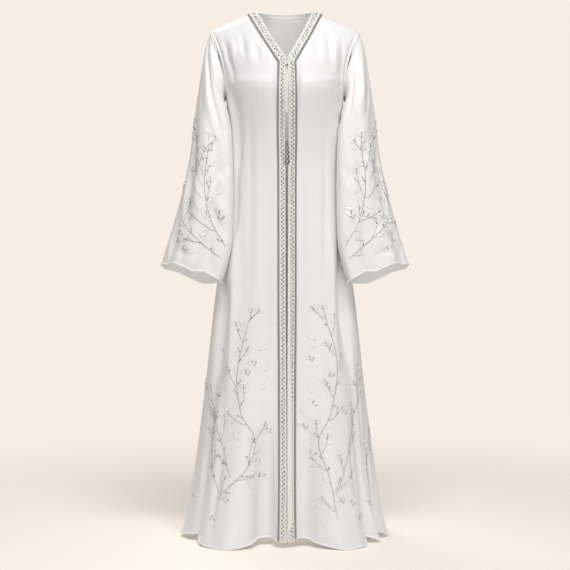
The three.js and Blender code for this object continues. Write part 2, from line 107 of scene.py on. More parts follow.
# around is 0 in the middle of the front, 1 and -1 at the side seams and 2 in the middle of the back
bodyFolds = {
    "around": [-0.34, -0.52, -0.7, -0.94, -0.105, 0.35, 0.49, 0.6, 0.69, 0.8, 0.94, 0.1,
               1.2, 1.42, 1.63, 1.86, -1.22, -1.44, -1.66, -1.9],
    "wide": [0.13, 0.1, 0.06, 0.07, 0.06, 0.12, 0.08, 0.04, 0.045, 0.05, 0.06, 0.055,
             0.1, 0.1, 0.11, 0.1, 0.1, 0.1, 0.12, 0.09],
    "out": [0.044, 0.026, -0.016, 0.013, -0.024, 0.042, 0.024, -0.012, 0.016, -0.014, 0.013, -0.024,
            0.024, -0.015, 0.026, -0.013, 0.022, -0.016, 0.027, -0.012],
    "fromZ": [-0.76, -0.8, -0.96, -0.9, -0.9, -0.74, -0.8, -0.98, -0.94, -1.0, -0.92, -0.9,
              -0.8, -0.86, -0.7, -0.82, -0.78, -0.9, -0.72, -0.8],
}
sleeveSections = {
    "place": list(range(10)),
    "outerX": [0.198, 0.213, 0.223, 0.233, 0.243, 0.252, 0.268, 0.294, 0.314, 0.328],
    "outerY": [0.0, 0.0, -0.002, -0.007, -0.014, -0.024, -0.036, -0.046, -0.052, -0.056],
    "outerZ": [-0.054, -0.096, -0.15, -0.215, -0.29, -0.375, -0.465, -0.568, -0.637, -0.683],
    "innerX": [0.156, 0.16, 0.152, 0.145, 0.14, 0.137, 0.136, 0.138, 0.15, 0.164],
    "innerY": [0.0, -0.012, -0.028, -0.046, -0.06, -0.068, -0.074, -0.08, -0.084, -0.086],
    "innerZ": [-0.235, -0.247, -0.268, -0.3, -0.346, -0.415, -0.506, -0.615, -0.686, -0.731],
    "deep": [0.047, 0.054, 0.058, 0.059, 0.057, 0.055, 0.054, 0.053, 0.052, 0.051],
}
sleeveFolds = {
    "turn": [0.2, 0.11, 0.31, 0.4, 0.62, 0.74, 0.87],
    "wide": [0.05, 0.04, 0.045, 0.04, 0.05, 0.06, 0.05],
    "out": [0.007, -0.005, -0.007, 0.006, 0.005, -0.008, 0.006],
    "from": [0.1, 0.2, 0.15, 0.35, 0.3, 0.2, 0.3],
    "full": [0.45, 0.6, 0.7, 0.9, 0.9, 0.7, 0.8],
}


def mix(a, b, t):
    return a + (b - a) * t


def easeIn(t):
    t = np.clip(t, 0, 1)
    return t * t * (3 - 2 * t)


def readTable(table, key, column, places):  # smooth between rows, never past its neighbours
    keys = np.array(table[key], float)
    values = np.array(table[column], float)
    places = np.asarray(places, float)
    if keys[-1] < keys[0]:
        keys, places = -keys, -places
    steps = np.diff(keys)
    rises = np.diff(values) / steps
    before, after = rises[:-1], rises[1:]
    turning = before * after <= 0
    middle = np.where(turning, 0, 2 * before * after / np.where(turning, 1, before + after))
    slopes = np.concatenate([[rises[0]], middle, [rises[-1]]])
    at = np.clip(np.searchsorted(keys, places, side="right") - 1, 0, len(keys) - 2)
    t = np.clip((places - keys[at]) / steps[at], 0, 1)
    curve = steps[at] * t * (1 - t) * (slopes[at] * (1 - t) - slopes[at + 1] * t)
    return mix(values[at], values[at + 1], easeIn(t)) + curve


def bell(far, wide):
    return np.exp(-((far / wide) ** 2))


def unit(vectors):
    return vectors / np.maximum(np.linalg.norm(vectors, axis=-1, keepdims=True), 1e-12)


def bodyHalf(z):
    return readTable(bodySections, "z", "half", z)


def bodyDepth(z, facing):
    return readTable(bodySections, "z", "front" if facing < 0 else "back", z)


def ridgeZ(x):  # the line of the shoulders
    return form["ridgeTop"] - form["ridgeSlope"] * (np.hypot(x, form["ridgeRound"]) - form["ridgeRound"])


def acrossOf(x, z):
    return np.arcsin(np.clip(x / bodyHalf(z), -1, 1)) * 2 / math.pi


def foldOut(around, z):
    out = 0
    for place, wide, far, fromZ in zip(*bodyFolds.values()):
        apart = np.abs(around - place)
        grown = np.clip((fromZ - z) / (fromZ - form["hemZ"]), 0, 1) ** 1.4
        out = out + far * grown * bell(np.minimum(apart, 4 - apart), wide)
    return out


def bodyForm(across, z, facing):  # across is -1 to 1, facing -1 on the front and 1 on the back
    around = across if facing < 0 else np.where(across < 0, -1, 1) * (2 - np.abs(across))
    half, depth = bodyHalf(z), bodyDepth(z, facing)
    turn = across * math.pi / 2
    x = half * np.sin(turn)
    drop = np.clip((ridgeZ(x) - z) / form["shoulderRound"], 0, 1)
    y = depth * np.maximum(0, np.cos(turn)) ** form["sideFullness"] * np.sqrt(1 - (1 - drop) ** 2)
    outward = unit(np.stack([x / half**2, y / depth**2], -1))
    out = foldOut(around, z)
    pointY = facing * (y + outward[..., 1] * out + form["seamGap"] / 2)
    return np.stack([x + outward[..., 0] * out, pointY, z - form["foldDrop"] * out], -1)


def armholeZ(angle):
    return mix(form["armholeTopZ"], form["armholeLowZ"], (1 - np.cos(angle)) / 2)


def armholeAcross(angle):
    return mix(form["armholeTopAround"], 1, angle / math.pi) - form["armholeScoop"] * np.sin(angle)


def rowAngle(row):
    return np.minimum(row, form["armholeRows"]) * math.pi / form["armholeRows"]


def lowRowZ(row, topZ):  # below the armhole, from topZ to the facing's end and on to the hem
    down = (row - form["armholeRows"]) / form["bodyRows"]
    above = mix(topZ, form["facingEndZ"], np.minimum(down, 1))
    return np.where(row > lastRow - 1, mix(form["facingEndZ"], form["hemZ"], row - lastRow + 1), above)


def sideRowZ(row):
    return np.where(row <= form["armholeRows"], armholeZ(rowAngle(row)), lowRowZ(row, form["armholeLowZ"]))


def openingRowZ(row):
    beside = (row - form["veeRow"]) / (form["armholeRows"] - form["veeRow"])
    high = mix(form["veeOuterZ"], form["underlapEndZ"], beside)
    return np.where(row <= form["armholeRows"], high, lowRowZ(row, form["underlapEndZ"]))


def curveTo(start, bend, end, t):
    return mix(mix(start, bend, t), mix(bend, end, t), t)


def bandPlace(row, side, share):  # x and z on the band, share 0 at its inner edge and 1 at its outer one
    veeRow = form["veeRow"]
    t = (1 - np.cos(rowAngle(np.minimum(row, veeRow)))) / (1 - math.cos(rowAngle(veeRow)))
    edge = readTable(openingGaps, "z", "gap", form["veeZ"]) / 2
    innerX = curveTo(form["neckHalf"], form["veeBend"][0], edge, t)
    innerZ = curveTo(0, form["veeBend"][1], form["veeZ"], t)
    outerX = curveTo(form["neckOuterHalf"], form["veeOuterBend"][0], edge + form["bandWidth"], t)
    outerZ = curveTo(ridgeZ(form["neckOuterHalf"]), form["veeOuterBend"][1], form["veeOuterZ"], t)
    neckX = form["openingX"] * t + side * mix(innerX, outerX, share)
    neckZ = mix(innerZ, outerZ, share)
    lowZ = mix(neckZ, openingRowZ(np.maximum(row, veeRow + 1)), np.clip(row - veeRow, 0, 1))
    lowX = readTable(openingGaps, "z", "gap", lowZ) / 2 + form["bandWidth"] * share
    onNeck = row <= veeRow
    return np.where(onNeck, neckX, form["openingX"] + side * lowX), np.where(onNeck, neckZ, lowZ)


def frontPlace(row, side, u):  # across and z on a front, u 0 at the band and 1 at the side
    startX, startZ = bandPlace(row, side, 1.0)
    outZ = sideRowZ(row)
    outAcross = np.where(row <= form["armholeRows"], armholeAcross(rowAngle(row)), 1)
    level = (1 - np.cos(rowAngle(row))) / 2
    outX = bodyHalf(outZ) * np.sin(outAcross * math.pi / 2)
    across = mix(np.abs(acrossOf(startX, startZ)), outAcross, u)
    straight = mix(startZ, outZ, u)
    x = bodyHalf(straight) * np.sin(across * math.pi / 2)
    bow = ridgeZ(x) - mix(ridgeZ(startX), ridgeZ(outX), u)
    return side * across, straight + (1 - level) * bow


def backPlace(row, share):  # share is -1 to 1 from armhole to armhole
    sideAcross = np.where(row <= form["armholeRows"], armholeAcross(rowAngle(row)), 1)
    topX = bodyHalf(0) * np.sin(share * form["armholeTopAround"] * math.pi / 2)
    neckZ = mix(form["neckBackOuterZ"], ridgeZ(form["neckOuterHalf"]), (topX / form["neckOuterHalf"]) ** 2)
    topZ = np.where(np.abs(topX) < form["neckOuterHalf"], neckZ, ridgeZ(topX))
    level = (1 - np.cos(rowAngle(row))) / 2
    high = mix(topZ, form["armholeLowZ"], level)
    return share * sideAcross, np.where(row <= form["armholeRows"], high, lowRowZ(row, form["armholeLowZ"]))


def sleeveTube(side, down, turn):  # turn is 0 on the outer edge and a quarter at the front
    def get(column):
        return readTable(sleeveSections, "place", column, down * 9)

    cosine, sine = np.cos(turn * 2 * math.pi), np.sin(turn * 2 * math.pi)
    share = (1 - cosine) / 2
    x = side * mix(get("outerX"), get("innerX"), share)
    y = mix(get("outerY"), get("innerY"), share) - get("deep") * sine
    z = mix(get("outerZ"), get("innerZ"), share) + form["cuffPitch"] * sine * down**3
    out = 0
    for place, wide, far, start, full in zip(*sleeveFolds.values()):
        apart = np.abs(turn - place)
        out = out + far * easeIn((down - start) / (full - start)) * bell(np.minimum(apart, 1 - apart), wide)
    return np.stack([x + side * cosine * out, y - sine * out, z], -1)


def armholePoint(side, turn):
    row = np.where(turn <= 0.5, turn, 1 - turn) * 2 * form["armholeRows"]
    across = armholeAcross(rowAngle(row))
    front = bodyForm(side * across, armholeZ(rowAngle(row)), -1)
    back = bodyForm(*backPlace(row, side * np.ones_like(row)), 1)
    return np.where((turn <= 0.5)[..., None], front, back)


def sleeveForm(side, down, turn):  # rounded off below the seam, where the armhole comes to a point
    reach = 0.016 * easeIn(down / 0.03) * (1 - easeIn(down / 0.4))
    return sum(share * sleeveSolid(side, down, turn + lap * reach)
               for lap, share in ((-2, 0.1), (-1, 0.25), (0, 0.3), (1, 0.25), (2, 0.1)))


def sleeveSolid(side, down, turn):
    turn = turn % 1
    settle = 1 - easeIn(down * 4)
    offset = armholePoint(side, turn) - sleeveTube(side, np.zeros_like(turn), turn)
    offset[..., 0] += side * 1.5 * form["seamGap"]
    point = sleeveTube(side, down, turn) + offset * settle[..., None]
    x, y, z = point[..., 0], point[..., 1], point[..., 2]
    clear = form["sleeveClear"] * easeIn(down * 5)
    depth = np.where(y < 0, bodyDepth(z, -1), bodyDepth(z, 1)) + clear
    behind = np.minimum(1, np.abs(y) / depth)
    bodyX = (bodyHalf(z) + clear) * np.sqrt(1 - behind ** (2 / form["sideFullness"]))
    low = easeIn((form["armholeTopZ"] - 0.04 - z) / 0.06)
    point[..., 0] = side * np.maximum(side * x, mix(side * x, bodyX, low))
    return point


def inMetres(creases):
    lengths = ("route", "wide", "out", "below")
    return [{key: np.array(value) / 1000 if key in lengths else value for key, value in crease.items()}
            for crease in creases]


# creases, in millimetres: each runs through a few places, given as x and z seen from its own side, and dies
# out at its ends. It goes out by out, and over wide to either side
frontCreases = inMetres([
    {"route": [(-162, -75), (-152, -134), (-126, -212)], "wide": 9, "out": -4.2},
    {"route": [(-140, -85), (-134, -150)], "wide": 8, "out": 2.4},
    {"route": [(-116, -62), (-104, -142)], "wide": 7, "out": -2.6},
    {"route": [(-96, -90), (-90, -165)], "wide": 9, "out": 1.6},
    {"route": [(-79, -100), (-66, -158)], "wide": 6, "out": -1.6},
    {"route": [(-150, -205), (-130, -262), (-125, -330), (-124, -440)], "wide": 17, "out": -13.5},
    {"route": [(-160, -212), (-112, -203), (-50, -212), (30, -216)], "wide": 26, "out": 6, "below": 80},
    {"route": [(-128, -400), (-128, -500), (-136, -640)], "wide": 14, "out": -5},
    {"route": [(-89, -270), (-90, -440), (-97, -700)], "wide": 9, "out": -2.2},
    {"route": [(-69, -300), (-70, -520), (-76, -820)], "wide": 10, "out": 1.6},
    {"route": [(-44, -430), (-48, -700), (-50, -980)], "wide": 11, "out": -1.4},
    {"route": [(-159, -590), (-166, -780), (-175, -1010)], "wide": 22, "out": -18},
    {"route": [(-130, -590), (-134, -780), (-141, -1050)], "wide": 15, "out": 8},
    {"route": [(-178, -900), (-190, -1100), (-207, -1270)], "wide": 12, "out": -2.4},
    {"route": [(-160, -1010), (-172, -1180)], "wide": 11, "out": 2.8},
    {"route": [(-150, -1160), (-168, -1300), (-176, -1380)], "wide": 10, "out": -5.5},
    {"route": [(-188, -1190), (-204, -1330)], "wide": 9, "out": -2.6},
    {"route": [(-212, -1170), (-228, -1310)], "wide": 10, "out": 3.6},
    {"route": [(-54, -1130), (-52, -1330), (-48, -1640)], "wide": 20, "out": -22},
    {"route": [(-88, -980), (-97, -1200), (-104, -1390)], "wide": 20, "out": 3},
    {"route": [(110, -62), (121, -142)], "wide": 7, "out": -3},
    {"route": [(133, -88), (131, -190)], "wide": 9, "out": 3.2},
    {"route": [(152, -80), (152, -150), (140, -225)], "wide": 8, "out": -3.6},
    {"route": [(82, -72), (86, -150)], "wide": 7, "out": -1.7},
    {"route": [(98, -80), (102, -176)], "wide": 8, "out": 1.6},
    {"route": [(172, -199), (116, -201), (62, -213), (-20, -218)], "wide": 26, "out": 6, "below": 80},
    {"route": [(104, -250), (122, -305)], "wide": 5, "out": -1.8},
    {"route": [(122, -238), (136, -300)], "wide": 5, "out": -2},
    {"route": [(140, -225), (146, -310)], "wide": 9, "out": -3.4},
    {"route": [(118, -310), (116, -500), (124, -720)], "wide": 12, "out": 1.8},
    {"route": [(90, -300), (93, -560), (98, -780)], "wide": 10, "out": 1.4},
    {"route": [(104, -340), (105, -520), (110, -760)], "wide": 7, "out": -1.6},
    {"route": [(60, -320), (62, -560), (64, -900)], "wide": 12, "out": -1.4},
    {"route": [(152, -560), (156, -740), (167, -950)], "wide": 22, "out": -23.5},
    {"route": [(119, -580), (123, -760), (132, -980)], "wide": 15, "out": 9},
    {"route": [(170, -760), (181, -960), (196, -1130)], "wide": 10, "out": 3},
    {"route": [(186, -930), (200, -1130), (212, -1280)], "wide": 10, "out": -4.6},
    {"route": [(160, -1120), (171, -1290)], "wide": 9, "out": -4},
    {"route": [(204, -1190), (224, -1340)], "wide": 9, "out": -4.2},
    {"route": [(216, -1120), (236, -1290)], "wide": 10, "out": 3.4},
    {"route": [(36, -980), (58, -1080), (66, -1240)], "wide": 13, "out": -2.2},
    {"route": [(30, -880), (75, -1020)], "wide": 8, "out": -1.5},
    {"route": [(30, -960), (85, -1150)], "wide": 10, "out": 1.6},
    {"route": [(58, -1120), (59, -1330), (56, -1640)], "wide": 20, "out": -11.5},
    {"route": [(96, -1010), (108, -1220), (118, -1390)], "wide": 20, "out": 2.8},
])
backCreases = inMetres([
    {"route": [(-150, -85), (-128, -170), (-104, -240)], "wide": 11, "out": -3.8},
    {"route": [(-120, -70), (-104, -165)], "wide": 8, "out": -2.2},
    {"route": [(-134, -100), (-118, -190)], "wide": 10, "out": 2.2},
    {"route": [(150, -85), (131, -160), (112, -250)], "wide": 11, "out": -3.6},
    {"route": [(112, -62), (100, -150)], "wide": 8, "out": -2.4},
    {"route": [(132, -95), (122, -200)], "wide": 10, "out": 2},
    {"route": [(-34, -55), (-30, -200), (-40, -360)], "wide": 14, "out": -1.8},
    {"route": [(30, -50), (34, -220), (28, -400)], "wide": 13, "out": -2},
    {"route": [(2, -80), (-4, -300), (2, -520)], "wide": 18, "out": 1.6},
    {"route": [(-128, -330), (-60, -405), (-10, -420)], "wide": 9, "out": -2.6},
    {"route": [(-130, -372), (-70, -440)], "wide": 9, "out": 2},
    {"route": [(130, -318), (75, -386), (20, -402)], "wide": 9, "out": -2.8},
    {"route": [(132, -360), (80, -425)], "wide": 9, "out": 2.2},
    {"route": [(124, -420), (60, -470)], "wide": 8, "out": -1.8},
    {"route": [(-122, -460), (-78, -500)], "wide": 8, "out": -1.6},
    {"route": [(-112, -480), (-118, -700), (-130, -930)], "wide": 13, "out": -5},
    {"route": [(-82, -500), (-90, -760), (-104, -1060)], "wide": 14, "out": 3.6},
    {"route": [(-50, -540), (-52, -800), (-60, -1120)], "wide": 12, "out": -3.4},
    {"route": [(-10, -560), (-14, -840), (-12, -1160)], "wide": 15, "out": 2.8},
    {"route": [(40, -520), (46, -790), (52, -1090)], "wide": 13, "out": -3.6},
    {"route": [(78, -500), (90, -800), (110, -1100)], "wide": 14, "out": 3.4},
    {"route": [(112, -500), (124, -740), (144, -960)], "wide": 13, "out": -5.2},
    {"route": [(-150, -700), (-165, -930), (-178, -1150)], "wide": 11, "out": 3.6},
    {"route": [(154, -720), (168, -940), (186, -1170)], "wide": 11, "out": 3.2},
    {"route": [(-126, -1080), (-140, -1260), (-150, -1388)], "wide": 13, "out": -4.8},
    {"route": [(-66, -1130), (-72, -1280), (-74, -1388)], "wide": 16, "out": 3.6},
    {"route": [(-22, -1080), (-26, -1250), (-30, -1388)], "wide": 13, "out": -4.4},
    {"route": [(30, -1150), (32, -1290), (30, -1388)], "wide": 15, "out": 3},
    {"route": [(84, -1080), (94, -1260), (98, -1388)], "wide": 13, "out": -4.6},
    {"route": [(134, -1100), (150, -1270), (158, -1388)], "wide": 14, "out": 3.4},
    {"route": [(196, -1060), (214, -1240)], "wide": 10, "out": -4},
    {"route": [(-200, -1080), (-214, -1270)], "wide": 10, "out": -4.2},
])
# behind says that the crease is on the back of the sleeve
leftSleeveCreases = inMetres([
    {"route": [(-213, -70), (-204, -170), (-188, -256), (-164, -345)], "wide": 11, "out": -5.6},
    {"route": [(-199, -90), (-188, -180), (-172, -250), (-152, -320)], "wide": 9, "out": 3},
    {"route": [(-226, -180), (-238, -290), (-242, -380)], "wide": 10, "out": -3},
    {"route": [(-247, -395), (-236, -436), (-220, -468)], "wide": 7, "out": -2.8},
    {"route": [(-230, -200), (-241, -320), (-244, -400)], "wide": 11, "out": -3.4, "behind": True},
    {"route": [(-212, -250), (-200, -320), (-178, -390)], "wide": 11, "out": -2.4},
    {"route": [(-224, -190), (-226, -320), (-220, -430)], "wide": 10, "out": 2.4},
    {"route": [(-144, -412), (-166, -440), (-188, -464)], "wide": 7, "out": -1.8},
    {"route": [(-142, -440), (-162, -466), (-180, -492)], "wide": 8, "out": 1.4},
    {"route": [(-172, -430), (-156, -458), (-142, -488)], "wide": 7, "out": -1.7},
    {"route": [(-186, -500), (-166, -540), (-146, -566)], "wide": 10, "out": 3},
    {"route": [(-192, -530), (-172, -580), (-150, -612)], "wide": 8, "out": -2.6},
    {"route": [(-252, -420), (-254, -510), (-246, -600)], "wide": 11, "out": -4},
    {"route": [(-262, -470), (-272, -560), (-276, -620)], "wide": 10, "out": 2.8},
    {"route": [(-222, -430), (-228, -500), (-222, -570)], "wide": 10, "out": 3.4},
    {"route": [(-206, -560), (-196, -640), (-200, -715)], "wide": 10, "out": -3},
    {"route": [(-232, -620), (-240, -700)], "wide": 10, "out": 3.6},
    {"route": [(-262, -625), (-272, -690)], "wide": 8, "out": -3.4},
    {"route": [(-300, -610), (-310, -676)], "wide": 9, "out": 2.6},
    {"route": [(-176, -640), (-176, -722)], "wide": 8, "out": 2.6},
    {"route": [(-218, -655), (-250, -660), (-286, -648)], "wide": 7, "out": -1.8},
    {"route": [(-206, -130), (-196, -260), (-180, -390)], "wide": 11, "out": -4.4, "behind": True},
    {"route": [(-188, -160), (-172, -300)], "wide": 10, "out": 3.2, "behind": True},
    {"route": [(-226, -220), (-224, -380)], "wide": 11, "out": 2.6, "behind": True},
    {"route": [(-230, -404), (-196, -440), (-160, -452)], "wide": 7, "out": -3.4, "behind": True},
    {"route": [(-232, -436), (-198, -470), (-164, -484)], "wide": 8, "out": 3, "behind": True},
    {"route": [(-236, -480), (-206, -510), (-176, -520)], "wide": 7, "out": -2.4, "behind": True},
    {"route": [(-246, -520), (-256, -620), (-268, -690)], "wide": 11, "out": -4.2, "behind": True},
    {"route": [(-216, -540), (-222, -640), (-226, -715)], "wide": 12, "out": 3.8, "behind": True},
    {"route": [(-190, -560), (-192, -720)], "wide": 9, "out": -3.2, "behind": True},
])
rightSleeveCreases = inMetres([
    {"route": [(216, -115), (226, -214), (206, -310)], "wide": 7, "out": -3.6},
    {"route": [(204, -130), (206, -220), (190, -300)], "wide": 10, "out": 3},
    {"route": [(182, -170), (170, -270), (150, -345)], "wide": 9, "out": -3.4},
    {"route": [(236, -240), (240, -360), (232, -450)], "wide": 10, "out": 2.4},
    {"route": [(214, -330), (206, -410), (188, -470)], "wide": 10, "out": -3.4},
    {"route": [(146, -286), (143, -340)], "wide": 8, "out": -3},
    {"route": [(146, -420), (168, -446), (190, -470)], "wide": 7, "out": -1.8},
    {"route": [(144, -452), (164, -480), (186, -508)], "wide": 8, "out": 1.4},
    {"route": [(174, -440), (158, -470), (146, -500)], "wide": 7, "out": -1.6},
    {"route": [(227, -190), (239, -300), (243, -390)], "wide": 10, "out": -2.8},
    {"route": [(248, -400), (238, -442), (222, -474)], "wide": 7, "out": -2.6},
    {"route": [(229, -190), (240, -310), (244, -390)], "wide": 11, "out": -3.2, "behind": True},
    {"route": [(190, -520), (170, -560), (150, -590)], "wide": 9, "out": 2.8},
    {"route": [(232, -480), (240, -560), (232, -620)], "wide": 11, "out": -3.6},
    {"route": [(258, -440), (272, -530), (284, -610)], "wide": 10, "out": 3},
    {"route": [(208, -540), (204, -630), (210, -700)], "wide": 10, "out": 3.4},
    {"route": [(186, -610), (184, -716)], "wide": 9, "out": -3.4},
    {"route": [(244, -630), (252, -700)], "wide": 9, "out": -3.2},
    {"route": [(274, -620), (286, -688)], "wide": 9, "out": 3.4},
    {"route": [(304, -620), (312, -676)], "wide": 8, "out": -2.2},
    {"route": [(224, -664), (256, -652), (290, -656)], "wide": 7, "out": -1.8},
    {"route": [(208, -140), (194, -270), (176, -380)], "wide": 11, "out": -4.2, "behind": True},
    {"route": [(190, -170), (176, -310)], "wide": 10, "out": 3, "behind": True},
    {"route": [(232, -396), (200, -428), (164, -446)], "wide": 7, "out": -3.2, "behind": True},
    {"route": [(230, -428), (200, -458), (168, -474)], "wide": 8, "out": 3, "behind": True},
    {"route": [(240, -500), (252, -600), (262, -690)], "wide": 11, "out": -4, "behind": True},
    {"route": [(214, -530), (218, -630), (220, -712)], "wide": 12, "out": 3.6, "behind": True},
    {"route": [(188, -570), (190, -716)], "wide": 9, "out": -3, "behind": True},
])
cuffWaves = {  # how the cuff's edge rises and dips round the sleeve
    "turn": [0.08, 0.17, 0.26, 0.33, 0.42, 0.58, 0.7, 0.84, 0.94],
    "wide": [0.035, 0.03, 0.028, 0.025, 0.035, 0.04, 0.05, 0.04, 0.03],
    "rise": [-0.003, 0.004, -0.0045, 0.0055, -0.003, 0.004, -0.005, 0.004, -0.003],
}


def routeBump(s, t, routes, wide, out, below=None):
    # a soft ridge or trough along straight stretches of a flat plane; with below, a fold that fades downwards
    lengths = [math.dist(a, b) for a, b in zip(routes[:-1], routes[1:])]
    total = sum(lengths)
    nearest = np.full(s.shape, 1e9)
    along, lower = np.zeros(s.shape), np.zeros(s.shape)
    start = 0.0
    for (a, b), length in zip(zip(routes[:-1], routes[1:]), lengths):
        share = np.clip(((s - a[0]) * (b[0] - a[0]) + (t - a[1]) * (b[1] - a[1])) / length**2, 0, 1)
        far = np.hypot(s - mix(a[0], b[0], share), t - mix(a[1], b[1], share))
        along = np.where(far < nearest, (start + share * length) / total, along)
        lower = np.where(far < nearest, t < mix(a[1], b[1], share), lower)
        nearest = np.minimum(far, nearest)
        start += length
    ends = np.sin(math.pi * np.clip(along, 0.02, 0.98)) ** 0.7
    if below is None:
        return out * bell(nearest, wide) * ends
    rounding = 0.005
    return out * np.exp(-(np.hypot(nearest, rounding) - rounding) / np.where(lower > 0, below, wide)) * ends


creaseDepth = {"front": 1.25, "back": 2.6, "sleeve": 1.5}
mostAcross = 0.985  # directions and sewing stop just short of the side seams


def quarterRound(z, facing):  # about how long a quarter of the way round is
    return (bodyHalf(z) + bodyDepth(z, facing)) * math.pi / 4


def bodyCreases(across, z, facing):
    s = across * quarterRound(z, facing)
    out = np.zeros(s.shape)
    deep = creaseDepth["front" if facing < 0 else "back"]
    for crease in frontCreases if facing < 0 else backCreases:
        routes = []
        for x, atZ in crease["route"]:
            routes.append((float(acrossOf(x, atZ) * quarterRound(atZ, facing)), atZ))
        out += routeBump(s, z, routes, crease["wide"], crease["out"] * deep, crease.get("below"))
    beside = np.where(np.abs(across) < 0.5, np.abs(s - form["openingX"]) - form["bandWidth"] - 0.004, 1)
    out *= easeIn(beside / 0.009) if facing < 0 else 1  # the cloth lies flat beside the bands
    return out * easeIn((1 - np.abs(across)) / 0.05)


downSteps = np.linspace(0, 1, 241)
sleeveLong = 0.60
sleeveRound = {"down": [0, 0.5, 1], "length": [0.40, 0.36, 0.42]}


def roundOf(down):
    return np.interp(down, sleeveRound["down"], sleeveRound["length"])


def sleevePlace(side, x, z, behind=False):  # down and turn of a place seen from the front
    share = 0.5
    for _ in range(24):  # closes in on the share of the way round
        sine = math.sqrt(max(0, 1 - (1 - 2 * share) ** 2)) * (-1 if behind else 1)
        levels = mix(readTable(sleeveSections, "place", "outerZ", downSteps * 9),
                     readTable(sleeveSections, "place", "innerZ", downSteps * 9), share)
        levels = levels + form["cuffPitch"] * sine * downSteps**3
        down = float(np.interp(-z, -levels, downSteps))
        outer = float(readTable(sleeveSections, "place", "outerX", down * 9))
        inner = float(readTable(sleeveSections, "place", "innerX", down * 9))
        share = mix(share, min(0.985, max(0.015, (side * x - outer) / (inner - outer))), 0.6)
    turn = math.acos(1 - 2 * share) / (2 * math.pi)
    return down, 1 - turn if behind else turn


sleeveRoutes = {}
for sleeveSide, creases in ((-1, leftSleeveCreases), (1, rightSleeveCreases)):
    sleeveRoutes[sleeveSide] = []
    for crease in creases:
        stops = [sleevePlace(sleeveSide, x, z, crease.get("behind", False)) for x, z in crease["route"]]
        flat = [(float(turn * roundOf(down)), down * sleeveLong) for down, turn in stops]
        sleeveRoutes[sleeveSide].append((flat, crease["wide"], crease["out"] * creaseDepth["sleeve"]))


def bodyCloth(across, z, facing):  # a place on the creased cloth, and the way out from it
    inside = np.clip(across, -mostAcross, mostAcross)
    step = 0.004
    along = bodyForm(inside + step, z, facing) - bodyForm(inside - step, z, facing)
    down = bodyForm(inside, z - step, facing) - bodyForm(inside, z + step, facing)
    outward = unit(np.cross(along, down)) * facing
    return bodyForm(across, z, facing) + outward * bodyCreases(across, z, facing)[..., None], outward


def sleeveCloth(side, down, turn):
    step = 0.006
    high, low = np.clip(down - step, 0, 1), np.clip(down + step, 0, 1)
    along = sleeveForm(side, low, turn) - sleeveForm(side, high, turn)
    around = sleeveForm(side, down, turn + step) - sleeveForm(side, down, turn - step)
    outward = unit(np.cross(around, along)) * side
    out = np.zeros(down.shape)
    for flat, wide, far in sleeveRoutes[side]:
        for lap in (-1, 0, 1):
            out += routeBump((turn % 1 + lap) * roundOf(down), down * sleeveLong, flat, wide, far)
    point = sleeveForm(side, down, turn) + outward * (out * easeIn(down / 0.06))[..., None]
    for place, wide, rise in zip(*cuffWaves.values()):
        apart = np.abs(turn % 1 - place)
        point[..., 2] += rise * down**9 * bell(np.minimum(apart, 1 - apart), wide)
    return point, outward


def deselectAll():
    if bpy.context.object and bpy.context.object.mode != "OBJECT":
        bpy.ops.object.mode_set(mode="OBJECT")
    bpy.ops.object.select_all(action="DESELECT")


def onlySelect(piece):
    deselectAll()
    piece.select_set(True)
    bpy.context.view_layer.objects.active = piece


def cornersOf(mesh):
    corners = np.empty(len(mesh.vertices) * 3)
    mesh.vertices.foreach_get("co", corners)
    return corners.reshape(-1, 3)


def setCorners(mesh, corners):
    mesh.vertices.foreach_set("co", np.ascontiguousarray(corners, float).ravel())
    mesh.update()


def applyModifier(piece, kind, **settings):
    onlySelect(piece)
    modifier = piece.modifiers.new(kind, kind)
    for name, value in settings.items():
        setattr(modifier, name, value)
    bpy.ops.object.modifier_apply(modifier=modifier.name)


def smooth(piece, degrees=50):
    onlySelect(piece)
    bpy.ops.object.shade_smooth_by_angle(angle=math.radians(degrees))


def finished(piece, name, slotName, material, *nodes):
    piece.name = name
    piece.data.name = name
    piece.data.materials.clear()
    piece.data.materials.append(material)
    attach(piece, "root")
    if nodes:
        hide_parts(*nodes)
    return piece


def clothPiece(grid, place, outwards, thick, closed=False):
    # a flat grid whose corners are then laid on the garment: u across and v down, each 0 to 1
    columns, rows = grid
    deselectAll()
    bpy.ops.mesh.primitive_grid_add(x_subdivisions=columns, y_subdivisions=rows, size=1, calc_uvs=True)
    piece = bpy.context.object
    flat = cornersOf(piece.data)
    points = place(flat[:, 0] + 0.5, 0.5 - flat[:, 1])
    setCorners(piece.data, points)
    if closed:
        onlySelect(piece)
        bpy.ops.object.mode_set(mode="EDIT")
        bpy.ops.mesh.select_all(action="SELECT")
        bpy.ops.mesh.remove_doubles(threshold=0.00008)
        bpy.ops.object.mode_set(mode="OBJECT")
    middle = piece.data.polygons[len(piece.data.polygons) // 2 + columns // 2]
    if middle.normal.dot(outwards(middle.center)) < 0:
        piece.data.flip_normals()
    applyModifier(piece, "SOLIDIFY", thickness=thick, offset=-1)
    smooth(piece)
    return piece


